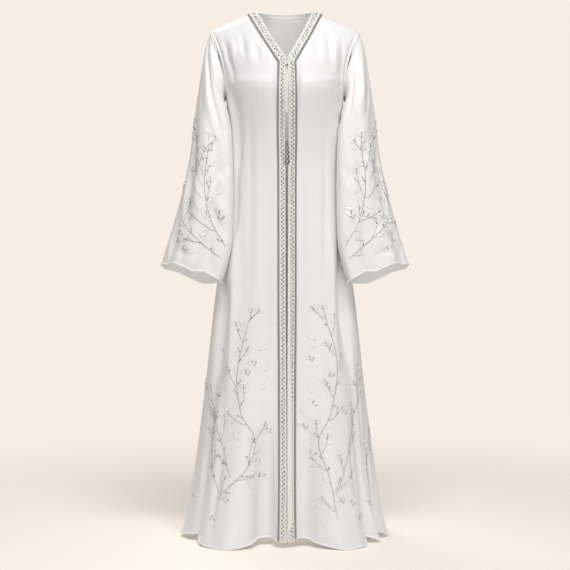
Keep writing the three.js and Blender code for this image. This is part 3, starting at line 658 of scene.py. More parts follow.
def threads(routes, radius, sides=1, closed=False, taper=0.0):
    # round threads along lists of points, as one curve turned into a mesh
    deselectAll()
    bpy.ops.curve.primitive_nurbs_path_add()
    piece = bpy.context.object
    curve = piece.data
    curve.splines.clear()
    for route in routes:
        spline = curve.splines.new("POLY")
        spline.points.add(len(route) - 1)
        spline.points.foreach_set("co", np.column_stack([route, np.ones(len(route))]).ravel())
        spline.use_cyclic_u = closed
        if taper:
            along = np.linspace(0, 1, len(route))
            spline.points.foreach_set("radius", 1 - taper * np.abs(along * 2 - 1) ** 4)
    curve.dimensions = "3D"
    curve.bevel_depth = radius
    curve.bevel_resolution = sides
    curve.use_fill_caps = not closed
    onlySelect(piece)
    bpy.ops.object.convert(target="MESH")
    piece = bpy.context.object
    smooth(piece, 80)
    return piece


def takeMesh(piece):  # keeps the mesh of a finished template and drops its object
    onlySelect(piece)
    bpy.ops.object.mode_set(mode="EDIT")
    bpy.ops.mesh.select_all(action="SELECT")
    bpy.ops.mesh.normals_make_consistent(inside=False)
    bpy.ops.object.mode_set(mode="OBJECT")
    mesh = piece.data.copy()
    bpy.data.objects.remove(piece)
    return mesh


def leafTemplate():  # one unit long along x, one wide and one high, crowned and pointed
    deselectAll()
    bpy.ops.mesh.primitive_circle_add(vertices=10, radius=0.5, fill_type="NGON")
    piece = bpy.context.object
    bpy.ops.object.mode_set(mode="EDIT")
    bpy.ops.mesh.select_all(action="SELECT")
    bpy.ops.mesh.extrude_region_move(TRANSFORM_OT_translate={"value": (0, 0, 0.6)})
    bpy.ops.transform.resize(value=(0.93, 0.8, 1))
    bpy.ops.mesh.extrude_region_move(TRANSFORM_OT_translate={"value": (0, 0, 0.4)})
    bpy.ops.transform.resize(value=(0.8, 0.25, 1))
    bpy.ops.object.mode_set(mode="OBJECT")
    corners = cornersOf(piece.data)
    corners[:, 1] *= 0.25 + 0.75 * (1 - np.abs(corners[:, 0] * 2) ** 2.2)
    corners[:, 0] += 0.5
    setCorners(piece.data, corners)
    return takeMesh(piece)


def beadTemplate():  # one unit wide and sitting on the cloth
    deselectAll()
    bpy.ops.mesh.primitive_uv_sphere_add(segments=7, ring_count=4, radius=0.5)
    piece = bpy.context.object
    bpy.ops.object.mode_set(mode="EDIT")
    bpy.ops.mesh.select_all(action="SELECT")
    bpy.ops.transform.translate(value=(0, 0, 0.42))
    bpy.ops.object.mode_set(mode="OBJECT")
    return takeMesh(piece)


def curlTemplate(stops, radius):  # a small curl of thread, flat on x and y
    deselectAll()
    bpy.ops.curve.primitive_bezier_curve_add()
    piece = bpy.context.object
    curve = piece.data
    spline = curve.splines[0]
    spline.bezier_points.add(len(stops) - len(spline.bezier_points))
    for point, (x, y) in zip(spline.bezier_points, stops):
        point.co = (x, y, radius)
        point.handle_left_type = point.handle_right_type = "AUTO"
    curve.resolution_u = 3
    curve.bevel_depth = radius
    curve.bevel_resolution = 0
    curve.use_fill_caps = True
    onlySelect(piece)
    bpy.ops.object.convert(target="MESH")
    return takeMesh(bpy.context.object)


def sewOn(surface, template, spots):
    # one mesh of a template laid on a surface at each spot: (s, t, turn, long, wide, high)
    shape = cornersOf(template)
    s, t, turn, long, wide, high = (np.array(column)[:, None] for column in zip(*spots))
    x, y = shape[None, :, 0] * long, shape[None, :, 1] * wide
    corners = surface.lay(
        s + x * np.cos(turn) - y * np.sin(turn),
        t + x * np.sin(turn) + y * np.cos(turn),
        shape[None, :, 2] * high,
    )
    size = len(template.vertices)
    faces = [tuple(polygon.vertices) for polygon in template.polygons]
    allFaces = [tuple(v + k * size for v in face) for k in range(len(spots)) for face in faces]
    mesh = bpy.data.meshes.new("sewn")
    mesh.from_pydata(corners.reshape(-1, 3).tolist(), [], allFaces)
    mesh.update()
    piece = bpy.data.objects.new("sewn", mesh)
    bpy.context.scene.collection.objects.link(piece)
    middle = surface.lay(s[:1, 0], t[:1, 0], np.array([0.001])) - surface.lay(s[:1, 0], t[:1, 0], np.zeros(1))
    top = max(template.polygons, key=lambda polygon: polygon.normal.z * polygon.area)
    if mesh.polygons[top.index].normal.dot(middle[0]) < 0:
        mesh.flip_normals()
    smooth(piece, 60)
    return piece


def joined(pieces):
    deselectAll()
    for piece in pieces:
        piece.select_set(True)
    bpy.context.view_layer.objects.active = pieces[0]
    bpy.ops.object.join()
    return bpy.context.object


class Value:  # a socket that takes part in sums
    def __init__(self, finish, socket):
        self.finish, self.socket = finish, socket

    def __add__(self, other):
        return self.finish.maths("ADD", self, other)

    def __radd__(self, other):
        return self.finish.maths("ADD", other, self)

    def __mul__(self, other):
        return self.finish.maths("MULTIPLY", self, other)

    def __rmul__(self, other):
        return self.finish.maths("MULTIPLY", other, self)


class Finish:  # the nodes of a material or of the world
    def __init__(self, owner):
        owner.use_nodes = True
        self.owner, self.tree = owner, owner.node_tree
        self.shader = self.tree.nodes.get("Principled BSDF")
        self.coords = self.tree.nodes.new("ShaderNodeTexCoord")

    def node(self, kind, settings=None, sockets=None):
        made = self.tree.nodes.new(kind)
        for name, value in (settings or {}).items():
            setattr(made, name, value)
        for key, value in (sockets or {}).items():
            self.feed(made.inputs[key], value)
        return made

    def feed(self, socket, value):
        if isinstance(value, Value):
            self.tree.links.new(value.socket, socket)
        elif isinstance(value, bpy.types.NodeSocket):
            self.tree.links.new(value, socket)
        elif hasattr(value, "__len__") and len(value) == 3 and socket.type == "RGBA":
            socket.default_value = (*value, 1)
        else:
            socket.default_value = value

    def maths(self, operation, first, second):
        node = self.node("ShaderNodeMath", {"operation": operation}, {0: first, 1: second})
        return Value(self, node.outputs[0])

    def places(self, scale):
        sockets = {"Vector": self.coords.outputs["Object"], "Scale": scale}
        return self.node("ShaderNodeMapping", {"vector_type": "POINT"}, sockets).outputs["Vector"]

    def noise(self, scale, stretch=(1, 1, 1), detail=3):
        sockets = {"Vector": self.places(stretch), "Scale": scale, "Detail": detail}
        return Value(self, self.node("ShaderNodeTexNoise", {}, sockets).outputs["Fac"])

    def wave(self, scale, direction):  # bands over the piece's own UV map
        settings = {"wave_type": "BANDS", "bands_direction": direction}
        sockets = {"Vector": self.coords.outputs["UV"], "Scale": scale}
        return Value(self, self.node("ShaderNodeTexWave", settings, sockets).outputs["Fac"])

    def blend(self, mask, first, second):
        node = self.node("ShaderNodeMix", {"data_type": "RGBA"}, {0: mask, 6: first, 7: second})
        return node.outputs[2]

    def between(self, value, low, high):  # 0 below low, 1 above high and smooth in the middle
        settings = {"interpolation_type": "SMOOTHSTEP"}
        node = self.node("ShaderNodeMapRange", settings, {"Value": value, "From Min": low, "From Max": high})
        return Value(self, node.outputs["Result"])

    def bump(self, height, far, strength=1.0, under=None):
        sockets = {"Height": height, "Distance": far, "Strength": strength}
        if under is not None:
            sockets["Normal"] = under
        return self.node("ShaderNodeBump", {}, sockets).outputs["Normal"]

    def done(self, **sockets):
        for name, value in sockets.items():
            words = "".join(" " + letter if letter.isupper() else letter for letter in name).title()
            words = words.replace("Ior", "IOR")
            self.feed(self.shader.inputs[words], value)
        return self.owner


def satinFinish(name, settings):
    finish = Finish(bpy.data.materials.new(name))
    broad = finish.noise(settings["broadScale"], detail=2)
    colour = finish.blend(broad, settings["colour"], settings["shade"])
    roughness = settings["roughness"] + settings["roughnessSpread"] * finish.noise(9, (1, 1, 0.25))
    drape = finish.bump(finish.noise(7, (2.2, 2.2, 0.35), 2), settings["drapeDeep"])
    yarn = finish.noise(900, (1, 1, 0.08), 2)
    normal = finish.bump(yarn, 0.0002, 0.5, drape)
    return finish.done(
        baseColor=colour,
        roughness=roughness,
        normal=normal,
        sheenWeight=settings["sheen"],
        sheenRoughness=0.3,
        specularIorLevel=0.5,
    )


def threadFinish(name, settings):
    finish = Finish(bpy.data.materials.new(name))
    tone = finish.noise(settings["speckle"], detail=1)
    colour = finish.blend(tone, settings["colour"], settings["shade"])
    normal = finish.bump(finish.noise(settings["strand"], detail=1), 0.0003, 0.7)
    roughness = settings["roughness"] + 0.12 * tone
    return finish.done(baseColor=colour, roughness=roughness, metallic=settings["metallic"], normal=normal)


def wovenFinish(name, settings):
    finish = Finish(bpy.data.materials.new(name))
    along = finish.wave(settings["threadsLong"], "Y")
    across = finish.wave(settings["threadsAcross"], "X")
    weave = along * across
    tone = finish.noise(settings["speckle"], detail=2)
    colour = finish.blend(tone, settings["colour"], settings["shade"])
    if "plain" in settings:  # a plain strip along the inner edge of a band
        split = finish.node("ShaderNodeSeparateXYZ", {}, {0: finish.coords.outputs["UV"]}).outputs[0]
        inner = finish.maths("LESS_THAN", split, settings["plainShare"])
        colour = finish.blend(inner, colour, settings["plain"])
    normal = finish.bump(weave, 0.0003, 0.6)
    return finish.done(
        baseColor=colour,
        roughness=settings["roughness"] + 0.1 * tone,
        metallic=settings["metallic"],
        normal=normal,
        sheenWeight=settings["sheen"],
        sheenRoughness=0.4,
    )


satin = satinFinish("satin", {
    "colour": (0.86, 0.86, 0.865), "shade": (0.82, 0.82, 0.83), "broadScale": 3.0, "roughness": 0.33,
    "roughnessSpread": 0.1, "drapeDeep": 0.004, "sheen": 0.25,
})
# the same satin as the body, painted lighter for the sleeves: painted light for the extra light they catch
sleeveSatinPaintedLight = satinFinish("sleeve_satin_painted_light", {
    "colour": (0.9, 0.895, 0.89), "shade": (0.86, 0.855, 0.85), "broadScale": 5.0, "roughness": 0.33,
    "roughnessSpread": 0.1, "drapeDeep": 0.004, "sheen": 0.25,
})
# the same satin painted whiter for the rolled hems: a painted highlight along the rolled edges
rolledSatinPaintedHighlight = satinFinish("rolled_satin_painted_highlight", {
    "colour": (0.97, 0.97, 0.97), "shade": (0.93, 0.93, 0.93), "broadScale": 9.0, "roughness": 0.3,
    "roughnessSpread": 0.1, "drapeDeep": 0.001, "sheen": 0.3,
})
trimGround = wovenFinish("trim_ground", {
    "colour": (0.83, 0.815, 0.79), "shade": (0.69, 0.68, 0.66), "plain": (0.8, 0.79, 0.765),
    "plainShare": 0.2, "speckle": 340, "threadsLong": 8, "threadsAcross": 6, "roughness": 0.38,
    "metallic": 0.05, "sheen": 0.1,
})
plainWeave = wovenFinish("plain_weave", {
    "colour": (0.91, 0.895, 0.87), "shade": (0.86, 0.845, 0.82), "speckle": 60, "threadsLong": 500,
    "threadsAcross": 10, "roughness": 0.42, "metallic": 0.0, "sheen": 0.2,
})
silverThread = threadFinish("silver_thread", {
    "colour": (0.78, 0.765, 0.74), "shade": (0.55, 0.54, 0.52), "speckle": 500, "strand": 1500,
    "roughness": 0.26, "metallic": 0.75,
})
darkThread = threadFinish("dark_thread", {
    "colour": (0.36, 0.345, 0.33), "shade": (0.2, 0.192, 0.185), "speckle": 420, "strand": 1500,
    "roughness": 0.36, "metallic": 0.6,
})
stemThread = threadFinish("stem_thread", {
    "colour": (0.52, 0.51, 0.5), "shade": (0.4, 0.395, 0.39), "speckle": 300, "strand": 1400,
    "roughness": 0.4, "metallic": 0.35,
})
beadMetal = threadFinish("bead_metal", {
    "colour": (0.3, 0.29, 0.285), "shade": (0.2, 0.195, 0.19), "speckle": 200, "strand": 400,
    "roughness": 0.18, "metallic": 0.85,
})
braidThread = threadFinish("braid_thread", {
    "colour": (0.27, 0.255, 0.25), "shade": (0.15, 0.142, 0.14), "speckle": 420, "strand": 1500,
    "roughness": 0.34, "metallic": 0.5,
})
cordThread = threadFinish("cord_thread", {
    "colour": (0.43, 0.41, 0.41), "shade": (0.27, 0.257, 0.257), "speckle": 380, "strand": 1500,
    "roughness": 0.36, "metallic": 0.45,
})
budThread = threadFinish("bud_thread", {
    "colour": (0.62, 0.61, 0.6), "shade": (0.42, 0.415, 0.41), "speckle": 300, "strand": 1400,
    "roughness": 0.36, "metallic": 0.4,
})
outlineThread = threadFinish("outline_thread", {
    "colour": (0.74, 0.735, 0.73), "shade": (0.64, 0.635, 0.63), "speckle": 300, "strand": 1400,
    "roughness": 0.4, "metallic": 0.3,
})
# white beads, whitened so that they read as glints: partly their own colour, partly painted highlight
pearlAndGlintFinish = threadFinish("pearl", {
    "colour": (0.98, 0.975, 0.96), "shade": (0.93, 0.925, 0.91), "speckle": 240, "strand": 300,
    "roughness": 0.1, "metallic": 0.0,
})
whiteThread = threadFinish("white_thread", {
    "colour": (0.97, 0.97, 0.975), "shade": (0.92, 0.92, 0.93), "speckle": 200, "strand": 1100,
    "roughness": 0.28, "metallic": 0.0,
})
print("finishes made")

panelSettings = {
    "frontGrid": (82, 224),
    "backGrid": (132, 206),
    "sleeveGrid": (108, 120),
    "thick": 0.0012,
    "tuck": 0.0012,  # how far edges are pushed in at the seams
    "armholeTuck": 0.0032,
    "backTuck": 0.0016,
    "sleeveTuck": 0.0038,
    "sleeveUnder": 0.0026,
    "roll": 0.0019,
    "rollSteps": 320,
    # soft rolls beside the edges: how far out, how far in from the edge, and how wide
    "frontArmhole": [(0.0014, 0.0080, 0.0034), (-0.0030, 0.0165, 0.0070)],
    "backArmhole": [(0.0018, 0.0075, 0.0036), (-0.0022, 0.0165, 0.0065)],
    "sleeveHead": [(0.0022, 0.0075, 0.0034), (-0.0010, 0.0160, 0.0050)],
    "hem": [(-0.0014, 0.005, 0.0018), (-0.0008, 0.017, 0.0018)],
}


def rolls(far, rows):  # soft rolls beside an edge
    return sum(out * bell(far - place, wide) for out, place, wide in rows)


def besideArmhole(row):  # 1 beside the armhole, 0 at the shoulder and below it
    return easeIn((form["armholeRows"] - row) / 1.5) * easeIn(row / 1.5)


def sideName(side):
    return "left" if side < 0 else "right"


def rolledEdge(name, place, closed=False):  # the narrow rolled hem along a panel's low edge
    steps = np.linspace(0, 1, panelSettings["rollSteps"])[:-1 if closed else None]
    line = place(steps, np.ones(len(steps)))
    line[:, 2] += panelSettings["roll"] / 2
    # the roll wears the whiter satin, a painted highlight
    finished(threads([line], panelSettings["roll"], closed=closed), name, "satin", rolledSatinPaintedHighlight)


def frontPanel(side):
    def place(u, v):
        row = v * lastRow
        across, z = frontPlace(row, side, u)
        point, outward = bodyCloth(across, z, -1)
        half = quarterRound(z, -1)
        edge = np.where(row <= form["armholeRows"], armholeAcross(rowAngle(row)), 1)
        fromSide = (1 - u) * edge * half
        beside = besideArmhole(row)
        out = -mix(panelSettings["tuck"], panelSettings["armholeTuck"], beside) * bell(fromSide, 0.0030)
        out += beside * rolls(fromSide, panelSettings["frontArmhole"])
        out -= panelSettings["tuck"] * bell(u * half, 0.0026)
        out += rolls(z - form["hemZ"], panelSettings["hem"])
        out -= 0.0010 * bell(row, 0.175)  # the shoulder seam
        return point + outward * out[:, None]

    piece = clothPiece(panelSettings["frontGrid"], place, lambda centre: (centre.x * 0.5, -1, 0),
                       panelSettings["thick"])
    name = sideName(side)
    rolledEdge(f"front_hem_{name}", place)
    return finished(piece, f"front_cloth_{name}", "satin", satin, f"front_{name}")


def backPanel():
    def place(u, v):
        row = v * lastRow
        across, z = backPlace(row, u * 2 - 1)
        point, outward = bodyCloth(across, z, 1)
        fromSide = (0.5 - np.abs(u - 0.5)) * 2 * quarterRound(z, 1)
        beside = besideArmhole(row)
        out = -mix(panelSettings["tuck"], panelSettings["backTuck"], beside) * bell(fromSide, 0.0030)
        out += beside * rolls(fromSide, panelSettings["backArmhole"])
        out += rolls(z - form["hemZ"], panelSettings["hem"])
        return point + outward * out[:, None]

    piece = clothPiece(panelSettings["backGrid"], place, lambda centre: (centre.x * 0.5, 1, 0),
                       panelSettings["thick"])
    rolledEdge("back_hem", place)
    return finished(piece, "back_cloth", "satin", satin, "back")


def sleevePanel(side):
    def place(u, v):
        down = v**1.1
        point, outward = sleeveCloth(side, down, u + 0.5)
        long = down * sleeveLong
        out = rolls(long, panelSettings["sleeveHead"]) - panelSettings["sleeveTuck"] * bell(long, 0.0030)
        out += rolls(sleeveLong - long, panelSettings["hem"])
        fromSeam = np.minimum(u, 1 - u) * roundOf(down)
        out -= 0.0008 * bell(fromSeam, 0.0025) * easeIn(long / 0.02)
        # its edge lies under the edges of the front and the back
        point[:, 0] -= side * panelSettings["sleeveUnder"] * bell(long, 0.0018)
        return point + outward * out[:, None]

    piece = clothPiece(panelSettings["sleeveGrid"], place, lambda centre: (side, 0, 0.3),
                       panelSettings["thick"], closed=True)
    name = sideName(side)
    rolledEdge(f"cuff_hem_{name}", place, closed=True)
    return finished(piece, f"sleeve_cloth_{name}", "satin", sleeveSatinPaintedLight, f"sleeve_{name}")


frontPanel(-1)
frontPanel(1)
backPanel()
sleevePanel(-1)
sleevePanel(1)
print("panels made")

trimSettings = {
    "thick": 0.0014,
    "step": 0.0036,
    "places": {  # the middle of the motif, of the row of pearls and of the cord, across from the inner edge
        "band_left": (0.0080, 0.0134, 0.0186),
        "band_right": (0.0116, 0.0164, 0.0204),
        "neck_trim": (0.0096, 0.0150, 0.0194),
    },
    "motif": {"half": 0.0038, "long": 0.0108, "radius": 0.00032, "high": 0.0009, "step": 0.0014},
    "stitch": {"long": 0.0066, "wide": 0.0029, "high": 0.0014, "lean": 0.75},
    "bead": {"size": 0.0042, "high": 0.0020},
    "cord": {"apart": 0.0013, "radius": 0.00145, "pitch": 0.0105, "high": 0.0018, "step": 0.0013},
    "pearls": {"gap": 0.0064, "size": 0.0034, "high": 0.0016},
    "mitre": (0.0040, 0.0072, 0.0104, 0.0136),
}
trimProfile = {  # how high the band stands above the form, across from its inner edge
    "at": [0, 0.0006, 0.0026, 0.0048, 0.0055, 0.0062, 0.0142, 0.015, 0.0161, 0.0172, 0.0178, 0.021, 0.022],
    "high": [0.0002, 0.0011, 0.0014, 0.0011, 0.0004, 0.0007, 0.0007, 0.0005, 0.001, 0.0005, 0.0005, 0.0005,
             0.0001],
}
trimColumns = [0, 0.0003, 0.0008, 0.0016, 0.0026, 0.0036, 0.0045, 0.0051, 0.0055, 0.006, 0.0066, 0.0085,
               0.0105, 0.0125, 0.0139, 0.0146, 0.0152, 0.0157, 0.0161, 0.0166, 0.0172, 0.018, 0.0195, 0.021,
               0.0216, 0.022]
facingShares = {  # how much of its width the plain strip has, and how much of the band it covers
    "down": [0.64, 0.9, 1.05, 1.33, 1.37],
    "wide": [0.4, 0.5, 0.92, 1, 0.85],
    "covered": [0.4, 0.5, 0.92, 1, 0.55],
}


class Ribbon:  # a strip over the form: s is metres along it and t metres across it from its inner edge
    def __init__(self, points, turned, width, soften=0.0):
        middle = points[:, points.shape[1] // 2]
        far = np.concatenate([[0], np.cumsum(np.linalg.norm(np.diff(middle, axis=0), axis=1))])
        self.long, self.width = far[-1], width
        count = int(self.long / 0.002) + 1
        self.step = self.long / (count - 1)
        wanted = np.linspace(0, self.long, count)
        columns = [[np.interp(wanted, far, points[:, k, axis]) for axis in range(3)]
                   for k in range(points.shape[1])]
        self.points = np.transpose(np.array(columns), (2, 0, 1))
        if soften:
            self.soften(soften)
        along, across = np.gradient(self.points, axis=0), np.gradient(self.points, axis=1)
        self.normals = unit(np.cross(across, along)) * turned

    def soften(self, far):  # rounds the turns over the shoulders
        reach = int(far / self.step)
        weights = np.hanning(2 * reach + 3)[1:-1]
        padded = np.pad(self.points, ((reach, reach), (0, 0), (0, 0)), mode="reflect", reflect_type="odd")
        self.points = sum(w * padded[k:k + len(self.points)] for k, w in enumerate(weights)) / weights.sum()

    def read(self, table, s, t):
        i = np.clip(s / self.step, 0, table.shape[0] - 1.001)
        j = np.clip(t / self.width * (table.shape[1] - 1), 0, table.shape[1] - 1.001)
        lowI, lowJ = i.astype(int), j.astype(int)
        a, b = (i - lowI)[..., None], (j - lowJ)[..., None]
        first = mix(table[lowI, lowJ], table[lowI, lowJ + 1], b)
        return mix(first, mix(table[lowI + 1, lowJ], table[lowI + 1, lowJ + 1], b), a)

    def lay(self, s, t, high):
        s, t, high = np.broadcast_arrays(s, t, high)
        return self.read(self.points, s, t) + self.read(self.normals, s, t) * high[..., None]

    def downTo(self, z):  # how far along a front band its inner edge comes down to z
        return np.interp(-z, -self.points[:, 0, 2], np.arange(len(self.points)) * self.step)

    def outwards(self):  # the way out of it, halfway along
        return tuple(self.read(self.normals, np.array(self.long / 2), np.array(self.width / 2)))


shares = np.linspace(0, 1, 9)


def bandPoints(side, rows):
    row, share = np.meshgrid(rows, shares, indexing="ij")
    x, z = bandPlace(row, side, share)
    return bodyForm(acrossOf(x, z), z, -1)


def frontRibbon(side):
    rows = np.linspace(form["veeRow"], lastRow, 900)
    return Ribbon(bandPoints(side, rows), -side, form["bandWidth"])


def neckRibbon():  # up the left of the V, round the back of the neck and down the right of the V
    rows = np.linspace(0, form["veeRow"], 160)
    outerX = np.linspace(-form["neckOuterHalf"], form["neckOuterHalf"], 120)[1:-1]
    outer, share = np.meshgrid(outerX, shares, indexing="ij")
    inner = outer * form["neckHalf"] / form["neckOuterHalf"]
    innerZ = mix(form["neckBackZ"], 0, (inner / form["neckHalf"]) ** 2)
    outerZ = mix(form["neckBackOuterZ"], ridgeZ(form["neckOuterHalf"]), (outer / form["neckOuterHalf"]) ** 2)
    x, z = mix(inner, outer, share), mix(innerZ, outerZ, share)
    middle = bodyForm(acrossOf(x, z), z, 1)
    points = np.concatenate([bandPoints(-1, rows)[::-1], middle, bandPoints(1, rows)])
    return Ribbon(points, -1, form["bandWidth"], soften=0.012)


def coveredBy(z):  # how far across the right band the plain strip covers it
    share = np.interp(-z, facingShares["down"], facingShares["covered"])
    return np.where((z < -facingShares["down"][0]) & (z > form["facingEndZ"]), form["facingWidth"] * share, 0)


def trimBand(name, ribbon, slotNode, covered=False):
    count = len(trimColumns) - 1

    def hidden(s, t):  # 1 where the plain strip lies over the band
        if not covered:
            return np.zeros(np.broadcast(s, t).shape)
        return np.where(t < coveredBy(ribbon.lay(s, t, np.zeros(1))[..., 2]) + 0.0008, 1.0, 0.0)

    def place(u, v):
        t = np.interp(u * count, np.arange(count + 1), trimColumns)
        s = v * ribbon.long
        high = readTable(trimProfile, "at", "high", t)
        plain = easeIn((0.0055 - t) / 0.001)
        high = high + plain * 0.00016 * (np.sin(s * 900) + np.sin(s * 613 + 2)) * (t > 0.0005)
        return ribbon.lay(s, t, high)

    rows = int(ribbon.long / trimSettings["step"])
    base = clothPiece((count, rows), place, lambda centre: ribbon.outwards(), trimSettings["thick"])
    layer = base.data.uv_layers[0].data
    flat = np.empty(len(layer) * 2)
    layer.foreach_get("uv", flat)
    flat = flat.reshape(-1, 2)
    flat[:, 0] = np.interp(flat[:, 0] * count, np.arange(count + 1), trimColumns) / form["bandWidth"]
    flat[:, 1] *= ribbon.long / form["bandWidth"]
    layer.foreach_set("uv", flat.ravel())
    finished(base, f"{name}_strip", "trim", trimGround, slotNode)
    base.data.materials.append(satin)
    for polygon in base.data.polygons[count * rows:count * rows * 2]:  # the side that faces into the garment
        polygon.material_index = 1
    long = round(float(ribbon.long), 3)

    motif, stitch, cord, pearls = (trimSettings[key] for key in ("motif", "stitch", "cord", "pearls"))
    motifPlace, pearlPlace, cordPlace = trimSettings["places"][name]
    s = np.arange(0.002, ribbon.long - 0.002, motif["step"])
    turn = math.pi * s / motif["long"]
    routes = []
    for phase in (0, math.pi):
        t = motifPlace + motif["half"] * np.sin(turn + phase)
        high = motif["high"] + 0.0005 * np.cos(turn + phase)
        routes.append(ribbon.lay(s, t, high * (1 - 0.75 * hidden(s, t))))
    braid = threads(routes, motif["radius"], sides=0)
    finished(braid, f"{name}_braid", "silver_thread", silverThread)

    s = np.arange(0.001, ribbon.long - 0.001, cord["step"])
    routes = []
    for phase in (0, math.pi):
        turn = 2 * math.pi * s / cord["pitch"] + phase
        t = cordPlace + cord["apart"] * np.cos(turn)
        routes.append(ribbon.lay(s, t, cord["high"] + 0.6 * cord["apart"] * np.sin(turn)))
    edge = threads(routes, cord["radius"])
    finished(edge, f"{name}_cord", "silver_thread", cordThread)

    lights, darks, slants, curls = [], [], [], []
    for k in range(int((ribbon.long - 0.008) / motif["long"] * 2)):
        s = 0.004 + k * motif["long"] / 2 + random.uniform(-0.0008, 0.0008)
        for column in (-1, 1):
            t = motifPlace + column * random.uniform(0.0010, 0.0032)
            if hidden(s, t - 0.003):
                continue
            if (k + (column > 0)) % 2:  # dark slanting stitches and pale beads take turns in two columns
                lean = stitch["lean"] * random.choice((-1, 1, 1)) + random.uniform(-0.5, 0.5)
                long = stitch["long"] * random.uniform(0.6, 1.2)
                start = (s - math.cos(lean) * long / 2, t - math.sin(lean) * long / 2)
                slants.append((*start, lean, long, stitch["wide"], stitch["high"]))
            else:
                size = trimSettings["bead"]["size"] * random.uniform(0.7, 1.2)
                lights.append((s, t + 0.0006 * column, 0, size, size * 0.9, trimSettings["bead"]["high"]))
                if random.random() < 0.25:
                    curls.append((s + 0.0036, t, random.uniform(0, 3), 0.0034, 0.0032, 0.0030))
                if random.random() < 0.45:
                    darks.append((s - 0.0032, t, 0, 0.0026, 0.0024, 0.0024))
    if name != "neck_trim":
        for t in trimSettings["mitre"]:  # the small stitches across the mitre
            slants.append((0.0008, t, 0.3, 0.0024, 0.0013, 0.0024))
    for s in np.arange(0.002, ribbon.long - 0.002, pearls["gap"]):
        size = pearls["size"] * random.uniform(0.7, 1.15)
        lights.append((s + random.uniform(-0.001, 0.001), pearlPlace, 0, size * 1.3, size, pearls["high"]))
    for s in np.arange(0.004, ribbon.long - 0.004, pearls["gap"] * 1.7):
        if not hidden(s, 0.003):
            slants.append((s, 0.0026, random.uniform(-0.5, 0.5), 0.0030, 0.0011, 0.0022))
    finished(sewOn(ribbon, bead, lights), f"{name}_pearls", "silver_thread", pearlAndGlintFinish)
    finished(sewOn(ribbon, bead, darks), f"{name}_knots", "silver_thread", beadMetal)
    finished(sewOn(ribbon, curl, curls), f"{name}_curls", "silver_thread", braidThread)
    finished(sewOn(ribbon, leaf, slants), f"{name}_stitches", "silver_thread", braidThread)


bead, leaf = beadTemplate(), leafTemplate()
curl = curlTemplate([(-0.5, -0.15), (-0.2, 0.3), (0.15, 0.1), (0.05, -0.25), (0.5, -0.1)], 0.16)
ribbons = {"left": frontRibbon(-1), "right": frontRibbon(1), "neck": neckRibbon()}
trimBand("band_left", ribbons["left"], "front_band_left")
trimBand("band_right", ribbons["right"], "front_band_right", covered=True)
trimBand("neck_trim", ribbons["neck"], "neck_band")
print("trim bands made")


def plainFacing():  # the cream strip turned out over the inner half of the right band
    ribbon = ribbons["right"]
    startS, endS = ribbon.downTo(-facingShares["down"][0]), ribbon.downTo(form["facingEndZ"])

    def place(u, v):
        s = mix(startS, endS, v)
        z = ribbon.lay(s, np.zeros(1), np.zeros(1))[..., 2]
        point = easeIn((endS - s) / 0.010)
        far = form["facingWidth"] * np.interp(-z, facingShares["down"], facingShares["wide"])
        far = far * mix(0.3, 1, point) + 0.0002
        crown = np.sin(np.pi * np.clip(u, 0.1, 1)) ** 0.6
        high = 0.0017 + 0.0010 * np.minimum(1, far / 0.011) + 0.0005 * crown
        high = high - 0.0028 * (1 - easeIn(u / 0.1)) + 0.00012 * np.sin(s * 210 + 3 * np.sin(s * 37))
        return ribbon.lay(s, u * far - 0.0003 * (1 - u), high)

    piece = clothPiece((10, 240), place, lambda centre: ribbon.outwards(), 0.0010)
    finished(piece, "facing_strip", "plain_strip", plainWeave, "front_facing")


def plainUnderlap():  # the strip that shows in the opening above the closure
    def place(u, v):
        row = mix(form["veeRow"] + 0.05, form["armholeRows"], v)
        leftX, leftZ = bandPlace(row, -1, 0.5)
        rightX, rightZ = bandPlace(row, 1, 0.5)
        left = bodyForm(acrossOf(leftX, leftZ), leftZ, -1)
        right = bodyForm(acrossOf(rightX, rightZ), rightZ, -1)
        point = mix(left, right, u[:, None])
        point[:, 1] += 0.0024 - 0.0008 * bell(u - 0.56, 0.05) + 0.0006 * bell(u - 0.42, 0.04)
        return point

    piece = clothPiece((24, 60), place, lambda centre: (0, -1, 0), 0.0010)
    finished(piece, "underlap_strip", "plain_strip", plainWeave, "underlap")


